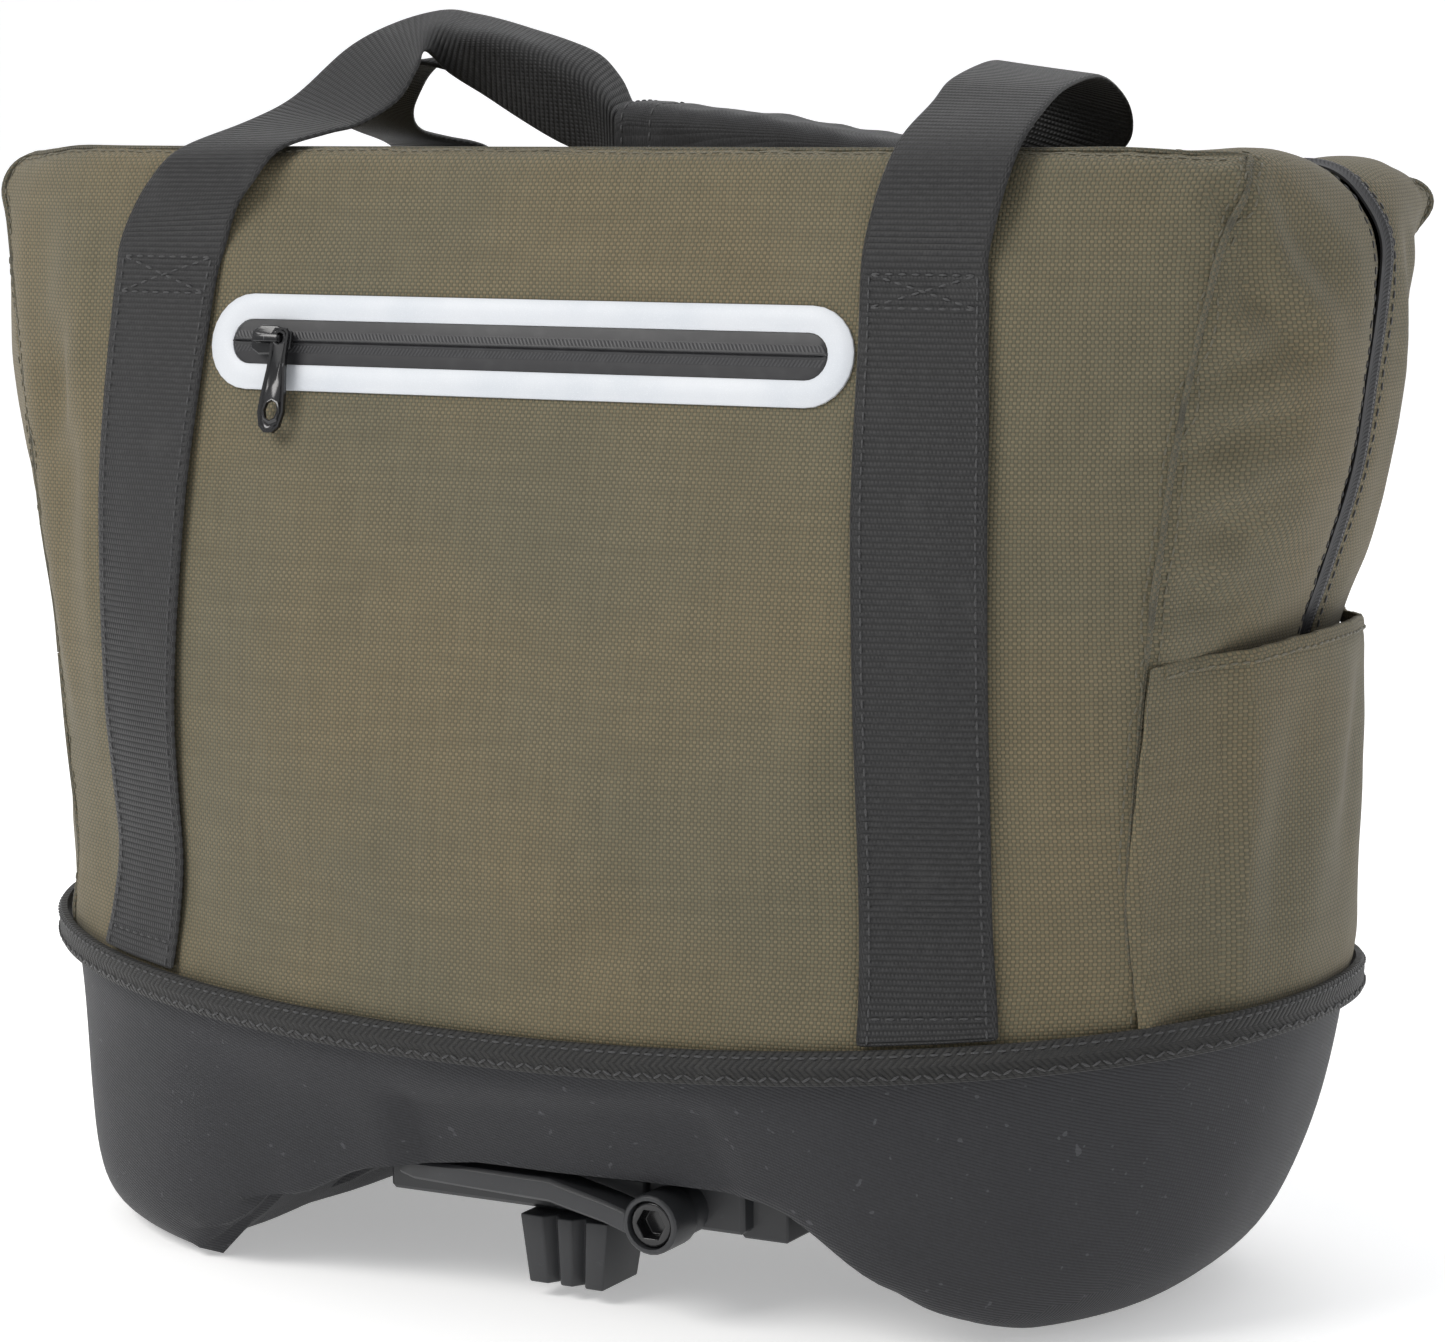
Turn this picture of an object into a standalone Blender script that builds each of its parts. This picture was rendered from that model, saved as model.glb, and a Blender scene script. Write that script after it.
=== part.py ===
# Bicycle trunk bag: a moulded foam tray with two lobes, a woven cloth body with a long zip over
# the top, two webbing handles gathered in one soft grip, and a plastic mount in the tray's tunnel.
# Sizes and tables are in millimetres. X runs along the bag, the front faces -Y, and Z is up from
# the ground under the tray's two lobes. MM turns them into the metres of the finished meshes.

import math

import bmesh
import bpy
import numpy as np

MM = 0.001

# Driving dimensions
TRIM_HALF_LENGTH = 206.7
TRIM_HALF_DEPTH = 123.6
TRIM_POWER = 2.3
TRIM_HEIGHT = 9.5
TRIM_THICKNESS = 2.6
TRIM_TOP = 87.0
TRIM_END_RISE = 11.1
CLOTH = 1.5
FOAM = 4.0
WEBBING = 1.6
WEBBING_WIDTH = 38.0
CREASE_SHARE = 15.0 / 38.0
GAP = 0.3
STRAP_GAP = 0.8
TUCK = 4.2
FRONT_EDGE = 328.5
BACK_EDGE = 321.0
TOP_SAG = 308.0
TOP_SAG_POWER = 3.4
ZIP_HALF_WIDTH = 4.6
HEM_HEIGHT = 191.0
TUNNEL_CEILING = 42.0
# The tunnel's flat top and its two feet reach this far to the left and to the right
TUNNEL_LEFT = (72.0, 112.0)
TUNNEL_RIGHT = (80.0, 127.0)
RIM_INSET = TRIM_THICKNESS + 1.0
SEAM_PULL = 0.25
EDGE_INSET = 2.8
BACK_SWELL = 0.5

# The cloth body's level sections: the corner seam, the end's middle and the front's middle, and
# the cheeks that the end swells into on either side of the zip.
# height, corner_x, corner_y, end_x, front_y, front_power, cheek
SECTIONS = (
    (84.0, 177.5, 70.0, 203.0, 121.0, 2.3, 0.0),
    (95.0, 178.0, 69.5, 204.0, 120.0, 2.4, 0.0),
    (110.0, 175.0, 68.0, 203.0, 117.5, 2.4, 0.0),
    (130.0, 174.5, 70.0, 200.0, 117.5, 2.3, 0.0),
    (160.0, 177.0, 71.0, 198.0, 114.0, 2.9, 0.0),
    (190.0, 179.5, 70.5, 198.0, 109.0, 3.6, 0.5),
    (208.0, 182.0, 71.0, 201.0, 106.0, 3.8, 4.0),
    (226.0, 184.5, 71.0, 208.0, 103.0, 4.1, 7.0),
    (250.0, 187.5, 69.6, 213.0, 97.0, 4.6, 7.5),
    (280.0, 193.0, 67.0, 217.0, 88.5, 6.5, 4.0),
    (302.0, 197.0, 63.5, 219.0, 83.5, 8.0, 1.5),
    (313.0, 198.5, 61.5, 215.0, 82.0, 8.0, 0.0),
    (320.0, 200.0, 60.5, 209.0, 81.0, 8.0, 0.0),
    (330.0, 201.0, 60.0, 200.0, 80.0, 8.0, 0.0),
)
# The end pockets' middle: height, how far out it stands
POCKET_ROWS = (
    (84.0, 203.0),
    (95.0, 206.0),
    (110.0, 207.5),
    (130.0, 206.5),
    (160.0, 207.0),
    (191.0, 206.5),
    (200.0, 206.0),
)
POCKET_LEVELS = (0.0, 99.5, 111.0, 127.0, 150.0, 172.0, HEM_HEIGHT)
POCKET_SHARES = (-0.9, -0.76, -0.52, -0.26, 0.0, 0.26, 0.52, 0.76, 0.9)
HEM_RISE = 5.5
# Rows of the front and back walls: height, and how far the wall has rolled in over the top edge.
WALL_ROWS = (
    (0.0, 0.0),
    (99.5, 0.0),
    (111.0, 0.0),
    (127.0, 0.0),
    (150.0, 0.0),
    (176.0, 0.0),
    (191.0, 0.0),
    (214.0, 0.0),
    (240.0, 0.0),
    (265.0, 0.0),
    (288.0, 0.0),
    (307.0, 0.0),
    (319.5, 1.2),
    (326.2, 4.6),
    (FRONT_EDGE, 10.0),
)
# Where the zip's middle line crosses the level of each wall row from the pocket up: height, x.
# An x of None lies on the end wall.
FIRST_ZIP_ROW = 5
ZIP_ROWS = (
    (176.0, None),
    (191.0, None),
    (214.0, None),
    (240.0, None),
    (265.0, None),
    (288.0, None),
    (303.0, None),
    (314.0, 213.0),
    (321.0, 205.0),
    (323.0, 194.0),
)
# The upper corners are drawn out to soft ears: side, end, tip_x, tip_y, tip_z, reach
EARS = (
    (-1, -1, 204.0, 60.0, 319.5, 26.0),
    (-1, 1, 202.0, 57.0, 320.5, 24.0),
    (1, 1, 212.5, 62.0, 312.5, 30.0),
    (1, -1, 209.0, 62.0, 316.0, 30.0),
)
# Long shallow folds in the walls: side, x, z, angle, length, width, depth
FOLDS = (
    (-1, 160.0, 185.0, 100.0, 62.0, 8.0, 2.2),
    (-1, 156.0, 262.0, 68.0, 44.0, 8.0, 1.8),
    (-1, 163.0, 128.0, 74.0, 30.0, 6.0, 1.6),
    (-1, -160.0, 150.0, 84.0, 52.0, 8.0, 2.4),
    (-1, -166.0, 236.0, 104.0, 48.0, 9.0, 2.0),
    (-1, -8.0, 176.0, 58.0, 70.0, 22.0, 1.8),
    (-1, 66.0, 118.0, 24.0, 48.0, 12.0, 1.4),
    (1, 158.0, 170.0, 80.0, 60.0, 9.0, 2.2),
    (1, -158.0, 190.0, 98.0, 62.0, 9.0, 2.4),
    (1, 20.0, 200.0, 122.0, 80.0, 24.0, 2.2),
    (1, -60.0, 130.0, 20.0, 50.0, 12.0, 1.6),
)
# The straps' edges on the walls: height, inner_x, outer_x
STRAP_EDGES = (
    (84.0, 111.0, 146.0),
    (95.0, 111.0, 146.0),
    (110.0, 110.0, 143.5),
    (160.0, 110.0, 143.5),
    (190.0, 109.0, 143.5),
    (220.0, 107.5, 143.5),
    (250.0, 106.0, 143.0),
    (280.0, 104.5, 141.5),
    (300.0, 103.0, 140.5),
)
STRAP_ROWS = (104.0, 122.0, 142.0, 163.0, 185.0, 208.0, 232.0, 256.0, 277.0, 292.0)

# The tray's level sections on the left and on the right: drop from the rim, half length, half depth
# and power.
LEFT_TRAY_ROWS = (
    (0.0, 203.1, 120.0, 2.3),
    (4.0, 202.3, 119.3, 2.3),
    (14.0, 201.4, 118.0, 2.3),
    (30.0, 200.0, 116.0, 2.35),
    (46.0, 198.6, 113.6, 2.4),
    (60.0, 196.4, 111.0, 2.5),
    (71.0, 192.4, 107.6, 2.6),
    (78.0, 186.0, 103.6, 2.6),
    (81.5, 177.0, 98.6, 2.6),
    (82.5, 166.0, 92.0, 2.6),
)
RIGHT_TRAY_ROWS = (
    (0.0, 203.1, 120.0, 2.3),
    (4.0, 202.2, 119.3, 2.3),
    (14.0, 200.3, 117.4, 2.3),
    (30.0, 196.0, 114.0, 2.35),
    (46.0, 189.6, 110.5, 2.4),
    (60.0, 180.8, 106.0, 2.45),
    (71.0, 169.0, 100.5, 2.5),
    (78.0, 157.0, 94.5, 2.5),
    (81.5, 147.0, 88.0, 2.5),
    (82.5, 139.5, 81.0, 2.5),
)
TRAY_COLUMNS = 48
TRIM_COLUMNS = 52
# Rings of the tray's floor: how far each has shrunk towards the middle line.
FLOOR_RINGS = (0.68, 0.34)
FLOOR_LINE_HALF = 104.0
# The tray's sides stand back over the tunnel, from one distance to the other, and the walls turn
# softly into the floor.
RECESS_DEPTH = 11.0
RECESS_SPAN = (66.0, 112.0)
RECESS_DROP = (8.0, 40.0)
FLOOR_SOFTNESS = 5.0

# The front handle's free run, from the left wall over the grip to the right wall.
# outer edge x, y, z, crease x, y, z, inner edge x, y, z; a crease of None lies flat.
FRONT_RUN = (
    ((-140.0, -85.6, 300.0), None, (-102.0, -85.6, 300.0)),
    ((-135.5, -86.0, 309.0), None, (-97.5, -86.0, 311.0)),
    ((-129.5, -84.5, 319.0), None, (-92.0, -85.0, 319.0)),
    ((-123.0, -78.0, 328.2), None, (-86.0, -79.5, 328.6)),
    ((-114.0, -56.0, 335.8), None, (-79.0, -65.0, 333.0)),
    ((-107.5, -41.0, 342.8), None, (-75.0, -55.0, 335.0)),
    ((-98.0, -26.0, 357.0), None, (-69.0, -44.0, 341.5)),
    ((-90.0, -11.0, 364.5), None, (-67.0, -37.0, 350.5)),
    ((-80.0, 0.0, 368.0), (-74.5, -14.0, 363.0), (-71.0, -24.0, 355.5)),
    ((-70.0, 2.0, 366.8), (-65.0, -16.0, 361.0), (-71.0, -13.0, 348.5)),
    ((-60.0, 2.0, 364.7), (-56.5, -16.5, 360.2), (-62.0, -7.5, 341.5)),
    ((-50.0, 2.0, 362.0), (-47.0, -15.5, 358.0), (-51.0, -7.0, 335.0)),
    ((-37.0, 2.0, 358.3), (-35.0, -14.5, 353.5), (-38.0, -7.5, 328.5)),
    ((-27.0, 3.0, 354.0), (-26.0, -13.0, 348.4), (-26.0, -8.0, 324.0)),
    ((-20.0, 3.5, 346.6), (-19.0, -11.5, 342.4), (-19.5, -9.5, 321.5)),
    ((-13.0, 4.0, 336.2), (-13.0, -10.6, 335.8), (-13.0, -10.6, 319.4)),
    ((8.0, 4.5, 334.8), (8.0, -11.0, 334.6), (8.0, -11.0, 317.5)),
    ((35.0, 6.0, 331.6), (35.0, -12.0, 331.6), (35.0, -12.0, 315.6)),
    ((65.0, 7.5, 327.4), (65.0, -13.0, 327.4), (65.0, -13.0, 314.2)),
    ((90.0, 8.5, 323.4), (90.0, -13.5, 323.4), (90.0, -13.5, 314.0)),
    ((95.5, 9.0, 323.2), (94.5, -10.0, 324.0), (94.5, -14.8, 317.0)),
    ((103.0, 9.5, 322.8), (99.5, -4.5, 324.2), (99.5, -14.2, 320.6)),
    ((116.0, 12.5, 322.6), None, (101.0, -7.0, 325.0)),
    ((129.5, 13.5, 323.2), None, (101.5, -2.0, 330.5)),
    ((140.0, 8.5, 328.6), None, (103.5, 3.5, 337.5)),
    ((144.5, 0.5, 336.4), None, (106.5, 0.5, 346.0)),
    ((146.0, -11.0, 343.0), None, (108.5, -8.0, 350.0)),
    ((146.5, -27.0, 347.3), None, (109.0, -19.0, 351.4)),
    ((147.0, -49.0, 344.8), None, (109.3, -44.0, 346.6)),
    ((147.5, -64.0, 339.6), None, (110.0, -57.0, 340.6)),
    ((147.0, -77.0, 331.5), None, (109.5, -74.5, 332.0)),
    ((146.0, -84.5, 321.5), None, (108.5, -84.0, 321.5)),
    ((143.0, -86.0, 309.5), None, (105.5, -86.0, 309.5)),
    ((140.6, -85.7, 300.0), None, (103.2, -85.7, 300.0)),
)
# The rear handle's free ends, in the same columns. Between them it nests under the front one.
REAR_LEFT = (
    ((-103.5, 85.8, 299.0), None, (-141.0, 85.8, 299.0)),
    ((-106.5, 86.0, 309.0), None, (-144.0, 86.0, 309.0)),
    ((-110.5, 84.5, 318.0), None, (-148.0, 84.5, 318.0)),
    ((-114.0, 78.0, 325.5), None, (-150.5, 76.0, 326.5)),
    ((-117.5, 61.0, 328.6), None, (-150.0, 56.0, 331.5)),
    ((-115.0, 41.0, 331.5), None, (-143.0, 33.0, 335.5)),
    ((-107.0, 24.0, 337.0), None, (-125.0, 8.0, 341.5)),
    ((-97.5, 13.0, 343.5), None, (-107.0, -8.0, 349.0)),
    ((-89.0, 7.0, 350.5), None, (-92.0, -12.0, 352.5)),
    ((-77.0, 5.0, 357.0), None, (-79.0, -8.0, 351.5)),
)
REAR_RIGHT = (
    ((103.0, 22.0, 317.4), None, (121.0, 1.0, 315.6)),
    ((106.0, 40.0, 318.6), None, (138.0, 24.0, 318.6)),
    ((106.0, 58.0, 321.8), None, (143.0, 54.0, 322.2)),
    ((105.5, 74.0, 323.6), None, (143.0, 73.0, 323.8)),
    ((105.0, 83.5, 318.5), None, (142.5, 83.5, 318.5)),
    ((104.0, 86.0, 309.0), None, (141.5, 86.0, 309.0)),
    ((103.5, 85.8, 299.0), None, (141.0, 85.8, 299.0)),
)
NEST_FIRST = 10
NEST_LAST = 21
NEST_DEPTH = 3.0
# The two straps part again over the last rows of the nest
PARTING_ROWS = 3
PARTING_DEPTH = 4.4

# The grip's sections along X: x, middle_y, top_z, height, width
GRIP_ROWS = (
    (-12.0, -3.3, 339.4, 25.0, 25.4),
    (-8.0, -3.3, 339.8, 25.8, 26.2),
    (10.0, -3.2, 338.6, 25.4, 26.6),
    (35.0, -3.0, 335.6, 23.6, 28.4),
    (65.0, -2.8, 331.2, 20.0, 30.8),
    (90.0, -2.5, 327.2, 16.2, 32.6),
    (95.0, -2.5, 326.4, 15.2, 32.0),
)
GRIP_SIDES = 14
GRIP_WALL = 1.5
GRIP_POWER = 6.0

# The pocket zip on the front
FRAME_HALF_LENGTH = 103.6
FRAME_HALF_HEIGHT = 13.4
WINDOW_HALF_LENGTH = 96.0
WINDOW_HALF_HEIGHT = 6.3
FRAME_HEIGHT = 273.4
FRAME_THICKNESS = 0.9
FRAME_GAP = 0.45
TAPE_THICKNESS = 1.2
SLIDER_X = -80.5
SLIDER_PLATE = 1.8
PULL_THICKNESS = 1.2
BRIDGE_CLEAR = SLIDER_PLATE + PULL_THICKNESS + 2.0 * GAP
LEG_AT = 3.7
MAIN_SLIDER_HEIGHT = 240.0
TAPE_RIDGE = 0.7
# A slider's plate: distance along the zip, half width
SLIDER_OUTLINE = ((-7.0, 2.6), (-4.0, 4.4), (1.5, 4.2), (6.5, 2.6))
# A pull: half width, distance down from the slider's leg
PULL_OUTLINE = (
    (1.8, -3.2),
    (2.9, -1.6),
    (2.8, 4.5),
    (3.1, 9.0),
    (4.0, 16.0),
    (4.4, 21.0),
    (3.4, 25.2),
    (1.4, 27.0),
)
# A pull's two holes: middle, half height, half width
PULL_HOLES = ((-0.2, 1.7, 1.6), (20.6, 2.9, 2.3))

# The mount under the tray
HOUSING_LEFT = -58.0
HOUSING_RIGHT = 60.0
HOUSING_FRONT = -76.0
HOUSING_BACK = 76.0
HOUSING_TOP = TUNNEL_CEILING - 2.0 * GAP
HOUSING_FOOT = 25.0
TONGUE_LEFT = -10.0
TONGUE_RIGHT = 19.0
TONGUE_FOOT = 4.5
BOLT_X = 41.5
BOLT_Z = 31.0
BOLT_HEAD_RADIUS = 6.7
COLLAR_BORE = 7.0
COLLAR_RADIUS = 8.6
SHANK_RADIUS = 4.0
HEX_FLATS = 8.0
BOSS_RADIUS = 7.4
LEVER_FRONT = -97.0
LEVER_BACK = -84.0
# Blocks that join the housing: lowest corner, highest corner
HOUSING_BLOCKS = (
    ("housing_plate", (-47.0, HOUSING_FRONT - 4.0, 31.0), (2.0, HOUSING_FRONT + 6.0, HOUSING_TOP - 1.0)),
    ("housing_rib", (8.0, HOUSING_FRONT - 3.0, 27.5), (30.0, HOUSING_FRONT + 6.0, HOUSING_TOP - 3.0)),
    ("housing_step", (HOUSING_RIGHT - 4.0, HOUSING_FRONT + 6.0, 22.5), (HOUSING_RIGHT + 11.0, 44.0, 36.5)),
    ("housing_rail", (HOUSING_LEFT - 5.0, -60.0, 31.0), (HOUSING_LEFT + 4.0, 60.0, 36.0)),
    ("housing_seat", (-52.0, -50.0, HOUSING_FOOT - 1.0), (-18.0, 60.0, HOUSING_FOOT + 3.0)),
)
# The housing's notch above the lever: left, right, low edge, depth
NOTCH = (-34.0, -22.0, 36.0, 2.5)
# The lever's bar along X: low edge, high edge, how far its face stands behind the collar's
LEVER_BAR = (
    (-44.0, 35.0, 39.0, 4.5),
    (-38.0, 34.2, 39.8, 2.6),
    (-20.0, 33.8, 40.2, 1.6),
    (8.0, 33.2, 40.0, 1.2),
    (14.0, 32.0, 38.6, 0.8),
    (26.0, 29.5, 36.0, 0.8),
    (34.5, 26.8, 33.6, 0.8),
)

# name: colour, roughness, metallic
FINISHES = {
    "olive_cloth": ((0.135, 0.125, 0.075, 1.0), 0.85, 0.0),
    "foam_skin": ((0.030, 0.031, 0.038, 1.0), 0.80, 0.0),
    "black_webbing": ((0.018, 0.018, 0.019, 1.0), 0.72, 0.0),
    "trim_tape": ((0.014, 0.014, 0.016, 1.0), 0.80, 0.0),
    "reflective": ((0.80, 0.82, 0.84, 1.0), 0.45, 0.0),
    "zip_tape": ((0.035, 0.035, 0.037, 1.0), 0.45, 0.0),
    "black_metal": ((0.012, 0.012, 0.013, 1.0), 0.28, 0.9),
    "black_plastic": ((0.020, 0.020, 0.022, 1.0), 0.42, 0.0),
    "grip_cloth": ((0.014, 0.014, 0.018, 1.0), 0.90, 0.0),
}


# Scene and mesh helpers


def clear_scene():
    for obj in list(bpy.data.objects):
        bpy.data.objects.remove(obj, do_unlink=True)


def finish(name):
    material = bpy.data.materials.get(name)
    if material is None:
        material = bpy.data.materials.new(name)
        material.use_nodes = True
        colour, roughness, metallic = FINISHES[name]
        shader = material.node_tree.nodes["Principled BSDF"]
        shader.inputs["Base Color"].default_value = colour
        shader.inputs["Roughness"].default_value = roughness
        shader.inputs["Metallic"].default_value = metallic
        material.diffuse_color = colour
    return material


def object_of(name, bm, finish_name, origin=(0.0, 0.0, 0.0), smooth=True):
    """The bmesh, whose points are in millimetres from the ground's origin, as a named object."""
    bmesh.ops.remove_doubles(bm, verts=bm.verts, dist=1e-5)
    bmesh.ops.recalc_face_normals(bm, faces=bm.faces)
    bmesh.ops.translate(bm, verts=bm.verts, vec=[-value for value in origin])
    bmesh.ops.scale(bm, verts=bm.verts, vec=(MM, MM, MM))
    mesh = bpy.data.meshes.new(name)
    bm.to_mesh(mesh)
    bm.free()
    if smooth:
        mesh.shade_smooth()
        mesh.set_sharp_from_angle(angle=math.radians(40))
    mesh.materials.append(finish(finish_name))
    obj = bpy.data.objects.new(name, mesh)
    obj.location = [value * MM for value in origin]
    bpy.context.scene.collection.objects.link(obj)
    return obj


def add_points(bm, grid):
    return [[bm.verts.new([float(value) for value in point]) for point in row] for row in grid]


def add_faces(bm, rows, wrap):
    """Quads between neighbouring rows of vertices."""
    for low, high in zip(rows, rows[1:]):
        count = len(low)
        for i in range(count if wrap else count - 1):
            k = (i + 1) % count
            bm.faces.new((low[i], low[k], high[k], high[i]))


def shell(name, outer, inner, finish_name, wrap=False):
    """A cloth wall between an outer and an inner grid of points, closed round its edges."""
    bm = bmesh.new()
    out_rows = add_points(bm, outer)
    in_rows = add_points(bm, inner)
    add_faces(bm, out_rows, wrap)
    add_faces(bm, [row[::-1] for row in in_rows], wrap)
    for out_row, in_row in ((out_rows[0], in_rows[0]), (out_rows[-1], in_rows[-1])):
        add_faces(bm, [out_row, in_row], wrap)
    if not wrap:
        for column in (0, -1):
            out_edge = [row[column] for row in out_rows]
            in_edge = [row[column] for row in in_rows]
            add_faces(bm, [out_edge, in_edge], False)
    return object_of(name, bm, finish_name)


def tube(name, sections, finish_name):
    """A solid through rings of points that all have the same number of corners."""
    bm = bmesh.new()
    rows = add_points(bm, sections)
    add_faces(bm, rows, True)
    bm.faces.new(rows[0])
    bm.faces.new(rows[-1])
    return object_of(name, bm, finish_name)


def prism(bm, outline, low, high, axis, taper=1.0):
    """An outline drawn out along an axis, from low to high, with its foot narrowed by taper."""
    outline = np.array(outline, float)
    middle = outline.mean(axis=0)
    rings = []
    for level, share in ((low, taper), (high, 1.0)):
        ring = []
        for a, b in middle + (outline - middle) * share:
            point = {"x": (level, a, b), "y": (a, level, b), "z": (a, b, level)}[axis]
            ring.append(bm.verts.new(point))
        rings.append(ring)
    add_faces(bm, rings, True)
    bm.faces.new(rings[0])
    bm.faces.new(rings[1])
    return rings


def circle(middle_u, middle_v, radius, count, other_radius=None):
    """Points round a circle, or an ellipse with another radius across."""
    across = radius if other_radius is None else other_radius
    turns = [2.0 * math.pi * k / count for k in range(count)]
    return [(middle_u + radius * math.cos(a), middle_v + across * math.sin(a)) for a in turns]


def soften(bm, width, segments=1):
    """Bevels every edge that turns sharply."""
    bmesh.ops.remove_doubles(bm, verts=bm.verts, dist=1e-5)
    bmesh.ops.recalc_face_normals(bm, faces=bm.faces)
    sharp = [e for e in bm.edges if len(e.link_faces) == 2 and e.calc_face_angle(0.0) > 0.6]
    bmesh.ops.bevel(
        bm,
        geom=sharp,
        offset=width,
        offset_type="OFFSET",
        segments=segments,
        profile=0.5,
        affect="EDGES",
        clamp_overlap=True,
        material=-1,
    )


def boolean(obj, other, operation):
    """The other solid is joined to the object or cut from it, and is then only a guide."""
    other.hide_render = True
    other.display_type = "WIRE"
    modifier = obj.modifiers.new(other.name, "BOOLEAN")
    modifier.operation = operation
    modifier.solver = "EXACT"
    modifier.object = other


# Curves and tables


def smooth_step(value, low, high):
    share = np.clip((np.asarray(value, float) - low) / (high - low), 0.0, 1.0)
    return share * share * (3.0 - 2.0 * share)


def between(table, column, at):
    """A table's column at a height, on a smooth curve through its rows."""
    heights = [row[0] for row in table]
    values = [row[column] for row in table]
    at = min(max(at, heights[0]), heights[-1])
    slopes = np.gradient(values, heights)
    i = min(max(int(np.searchsorted(heights, at)) - 1, 0), len(heights) - 2)
    step = heights[i + 1] - heights[i]
    t = (at - heights[i]) / step
    return (
        (2 * t**3 - 3 * t**2 + 1) * values[i]
        + (t**3 - 2 * t**2 + t) * step * slopes[i]
        + (3 * t**2 - 2 * t**3) * values[i + 1]
        + (t**3 - t**2) * step * slopes[i + 1]
    )


def unit(vector):
    return vector / max(float(np.linalg.norm(vector)), 1e-9)


def superellipse(half_length, half_depth, power, angle):
    c, s = math.cos(angle), math.sin(angle)
    radius = (abs(c / half_length) ** power + abs(s / half_depth) ** power) ** (-1.0 / power)
    return radius * c, radius * s


def trim_top(x):
    return TRIM_TOP + TRIM_END_RISE * (abs(x) / TRIM_HALF_LENGTH) ** 2


def wall_foot(x):
    return trim_top(x) - TUCK


# The cloth body


def rim_depth(x):
    """Half the depth of the cloth's lower rim at x."""
    a = TRIM_HALF_LENGTH - RIM_INSET
    b = TRIM_HALF_DEPTH - RIM_INSET
    return b * (1.0 - min(abs(x) / a, 1.0) ** TRIM_POWER) ** (1.0 / TRIM_POWER)


def rim_length(y):
    """Half the length of the cloth's lower rim at y."""
    a = TRIM_HALF_LENGTH - RIM_INSET
    b = TRIM_HALF_DEPTH - RIM_INSET
    return a * (1.0 - min(abs(y) / b, 1.0) ** TRIM_POWER) ** (1.0 / TRIM_POWER)


def fold_depth(side, x, z):
    total = 0.0
    for fold_side, fold_x, fold_z, angle, length, width, depth in FOLDS:
        if fold_side != side:
            continue
        turn = math.radians(angle)
        along = (x - fold_x) * math.cos(turn) + (z - fold_z) * math.sin(turn)
        across = -(x - fold_x) * math.sin(turn) + (z - fold_z) * math.cos(turn)
        total += depth * math.exp(-((along / (0.5 * length)) ** 2) - (across / width) ** 2)
    return total


def wall_depth(side, x, z, folded=True):
    """Distance of the front or back wall from the bag's middle plane, without the top's roll."""
    corner_x = between(SECTIONS, 1, z)
    corner_y = between(SECTIONS, 2, z)
    middle = between(SECTIONS, 4, z)
    power = between(SECTIONS, 5, z)
    free = middle + (corner_y - middle) * min(abs(x) / corner_x, 1.0) ** power
    if folded:
        free -= float(smooth_step(corner_x - abs(x), 0.0, 18.0)) * fold_depth(side, x, z)
    share = float(smooth_step(z - wall_foot(x), 0.0, 24.0))
    return (1.0 - share) * rim_depth(x) + share * free


def end_length(y, z):
    """Distance of an end wall from the bag's middle, at a point between its two corner seams."""
    corner_x = between(SECTIONS, 1, z)
    ratio = min(abs(y) / between(SECTIONS, 2, z), 1.0)
    middle = between(SECTIONS, 3, z)
    free = corner_x + (middle - corner_x) * (1.0 - ratio**2.2)
    swell = 1.0 if y < 0 else BACK_SWELL
    free += swell * between(SECTIONS, 6, z) * math.sin(math.pi * ratio) ** 2
    share = float(smooth_step(z - wall_foot(corner_x), 0.0, 24.0))
    behind = EDGE_INSET * (1.0 - float(smooth_step(z, HEM_HEIGHT + 5.0, HEM_HEIGHT + 18.0)))
    return (1.0 - share) * rim_length(y) + share * free - behind * float(smooth_step(1.0 - ratio, 0.0, 0.1))


def pocket_length(y, z):
    """Distance of a pocket's face from the bag's middle."""
    corner_x = between(SECTIONS, 1, z)
    ratio = min(abs(y) / between(SECTIONS, 2, z), 1.0)
    free = corner_x + (between(POCKET_ROWS, 1, z) - corner_x) * (1.0 - ratio**2.2)
    share = float(smooth_step(z - wall_foot(corner_x), 0.0, 24.0))
    return (1.0 - share) * rim_length(y) + share * free


def section_level(side, z):
    """The section table's height for a wall point; the back's top edge is lower than the front's."""
    if side < 0:
        return z
    return z + (FRONT_EDGE - BACK_EDGE) * float(smooth_step(z, 225.0, 300.0))


def row_height(side, row):
    """The back wall's upper rows are lower than the front's."""
    height = WALL_ROWS[row][0]
    if side > 0 and height > 250.0:
        height = 250.0 + (height - 250.0) * (BACK_EDGE - 250.0) / (FRONT_EDGE - 250.0)
    return height


def draw_out_ears(side, point):
    """Points near an upper corner are pulled out to its ear."""
    for ear_side, ear_end, tip_x, tip_y, tip_z, reach in EARS:
        if ear_side != side or ear_end * point[0] < 0.0:
            continue
        corner_x = between(SECTIONS, 1, 320.0)
        corner_y = between(SECTIONS, 2, 320.0)
        edge = FRONT_EDGE if side < 0 else BACK_EDGE
        corner = np.array([ear_end * corner_x, side * corner_y, edge - 4.0])
        tip = np.array([ear_end * tip_x, side * tip_y, tip_z])
        near = math.exp(-((np.linalg.norm(point - corner) / (0.6 * reach)) ** 2))
        point = point + (tip - corner) * near
    return point


def wall_point(side, share, row):
    """A point of the front or back wall; share runs from -1 at the left seam to 1 at the right."""
    height = row_height(side, row)
    roll = WALL_ROWS[row][1]
    seam_x = share * between(SECTIONS, 1, TRIM_TOP)
    if row == 0:
        height = wall_foot(seam_x)
    elif row == 1:
        height = trim_top(seam_x) + 3.0
    x = share * between(SECTIONS, 1, height)
    y = side * (wall_depth(side, x, section_level(side, height)) - roll)
    return draw_out_ears(side, np.array([x - 0.4 * roll * share, y, height]))


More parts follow.
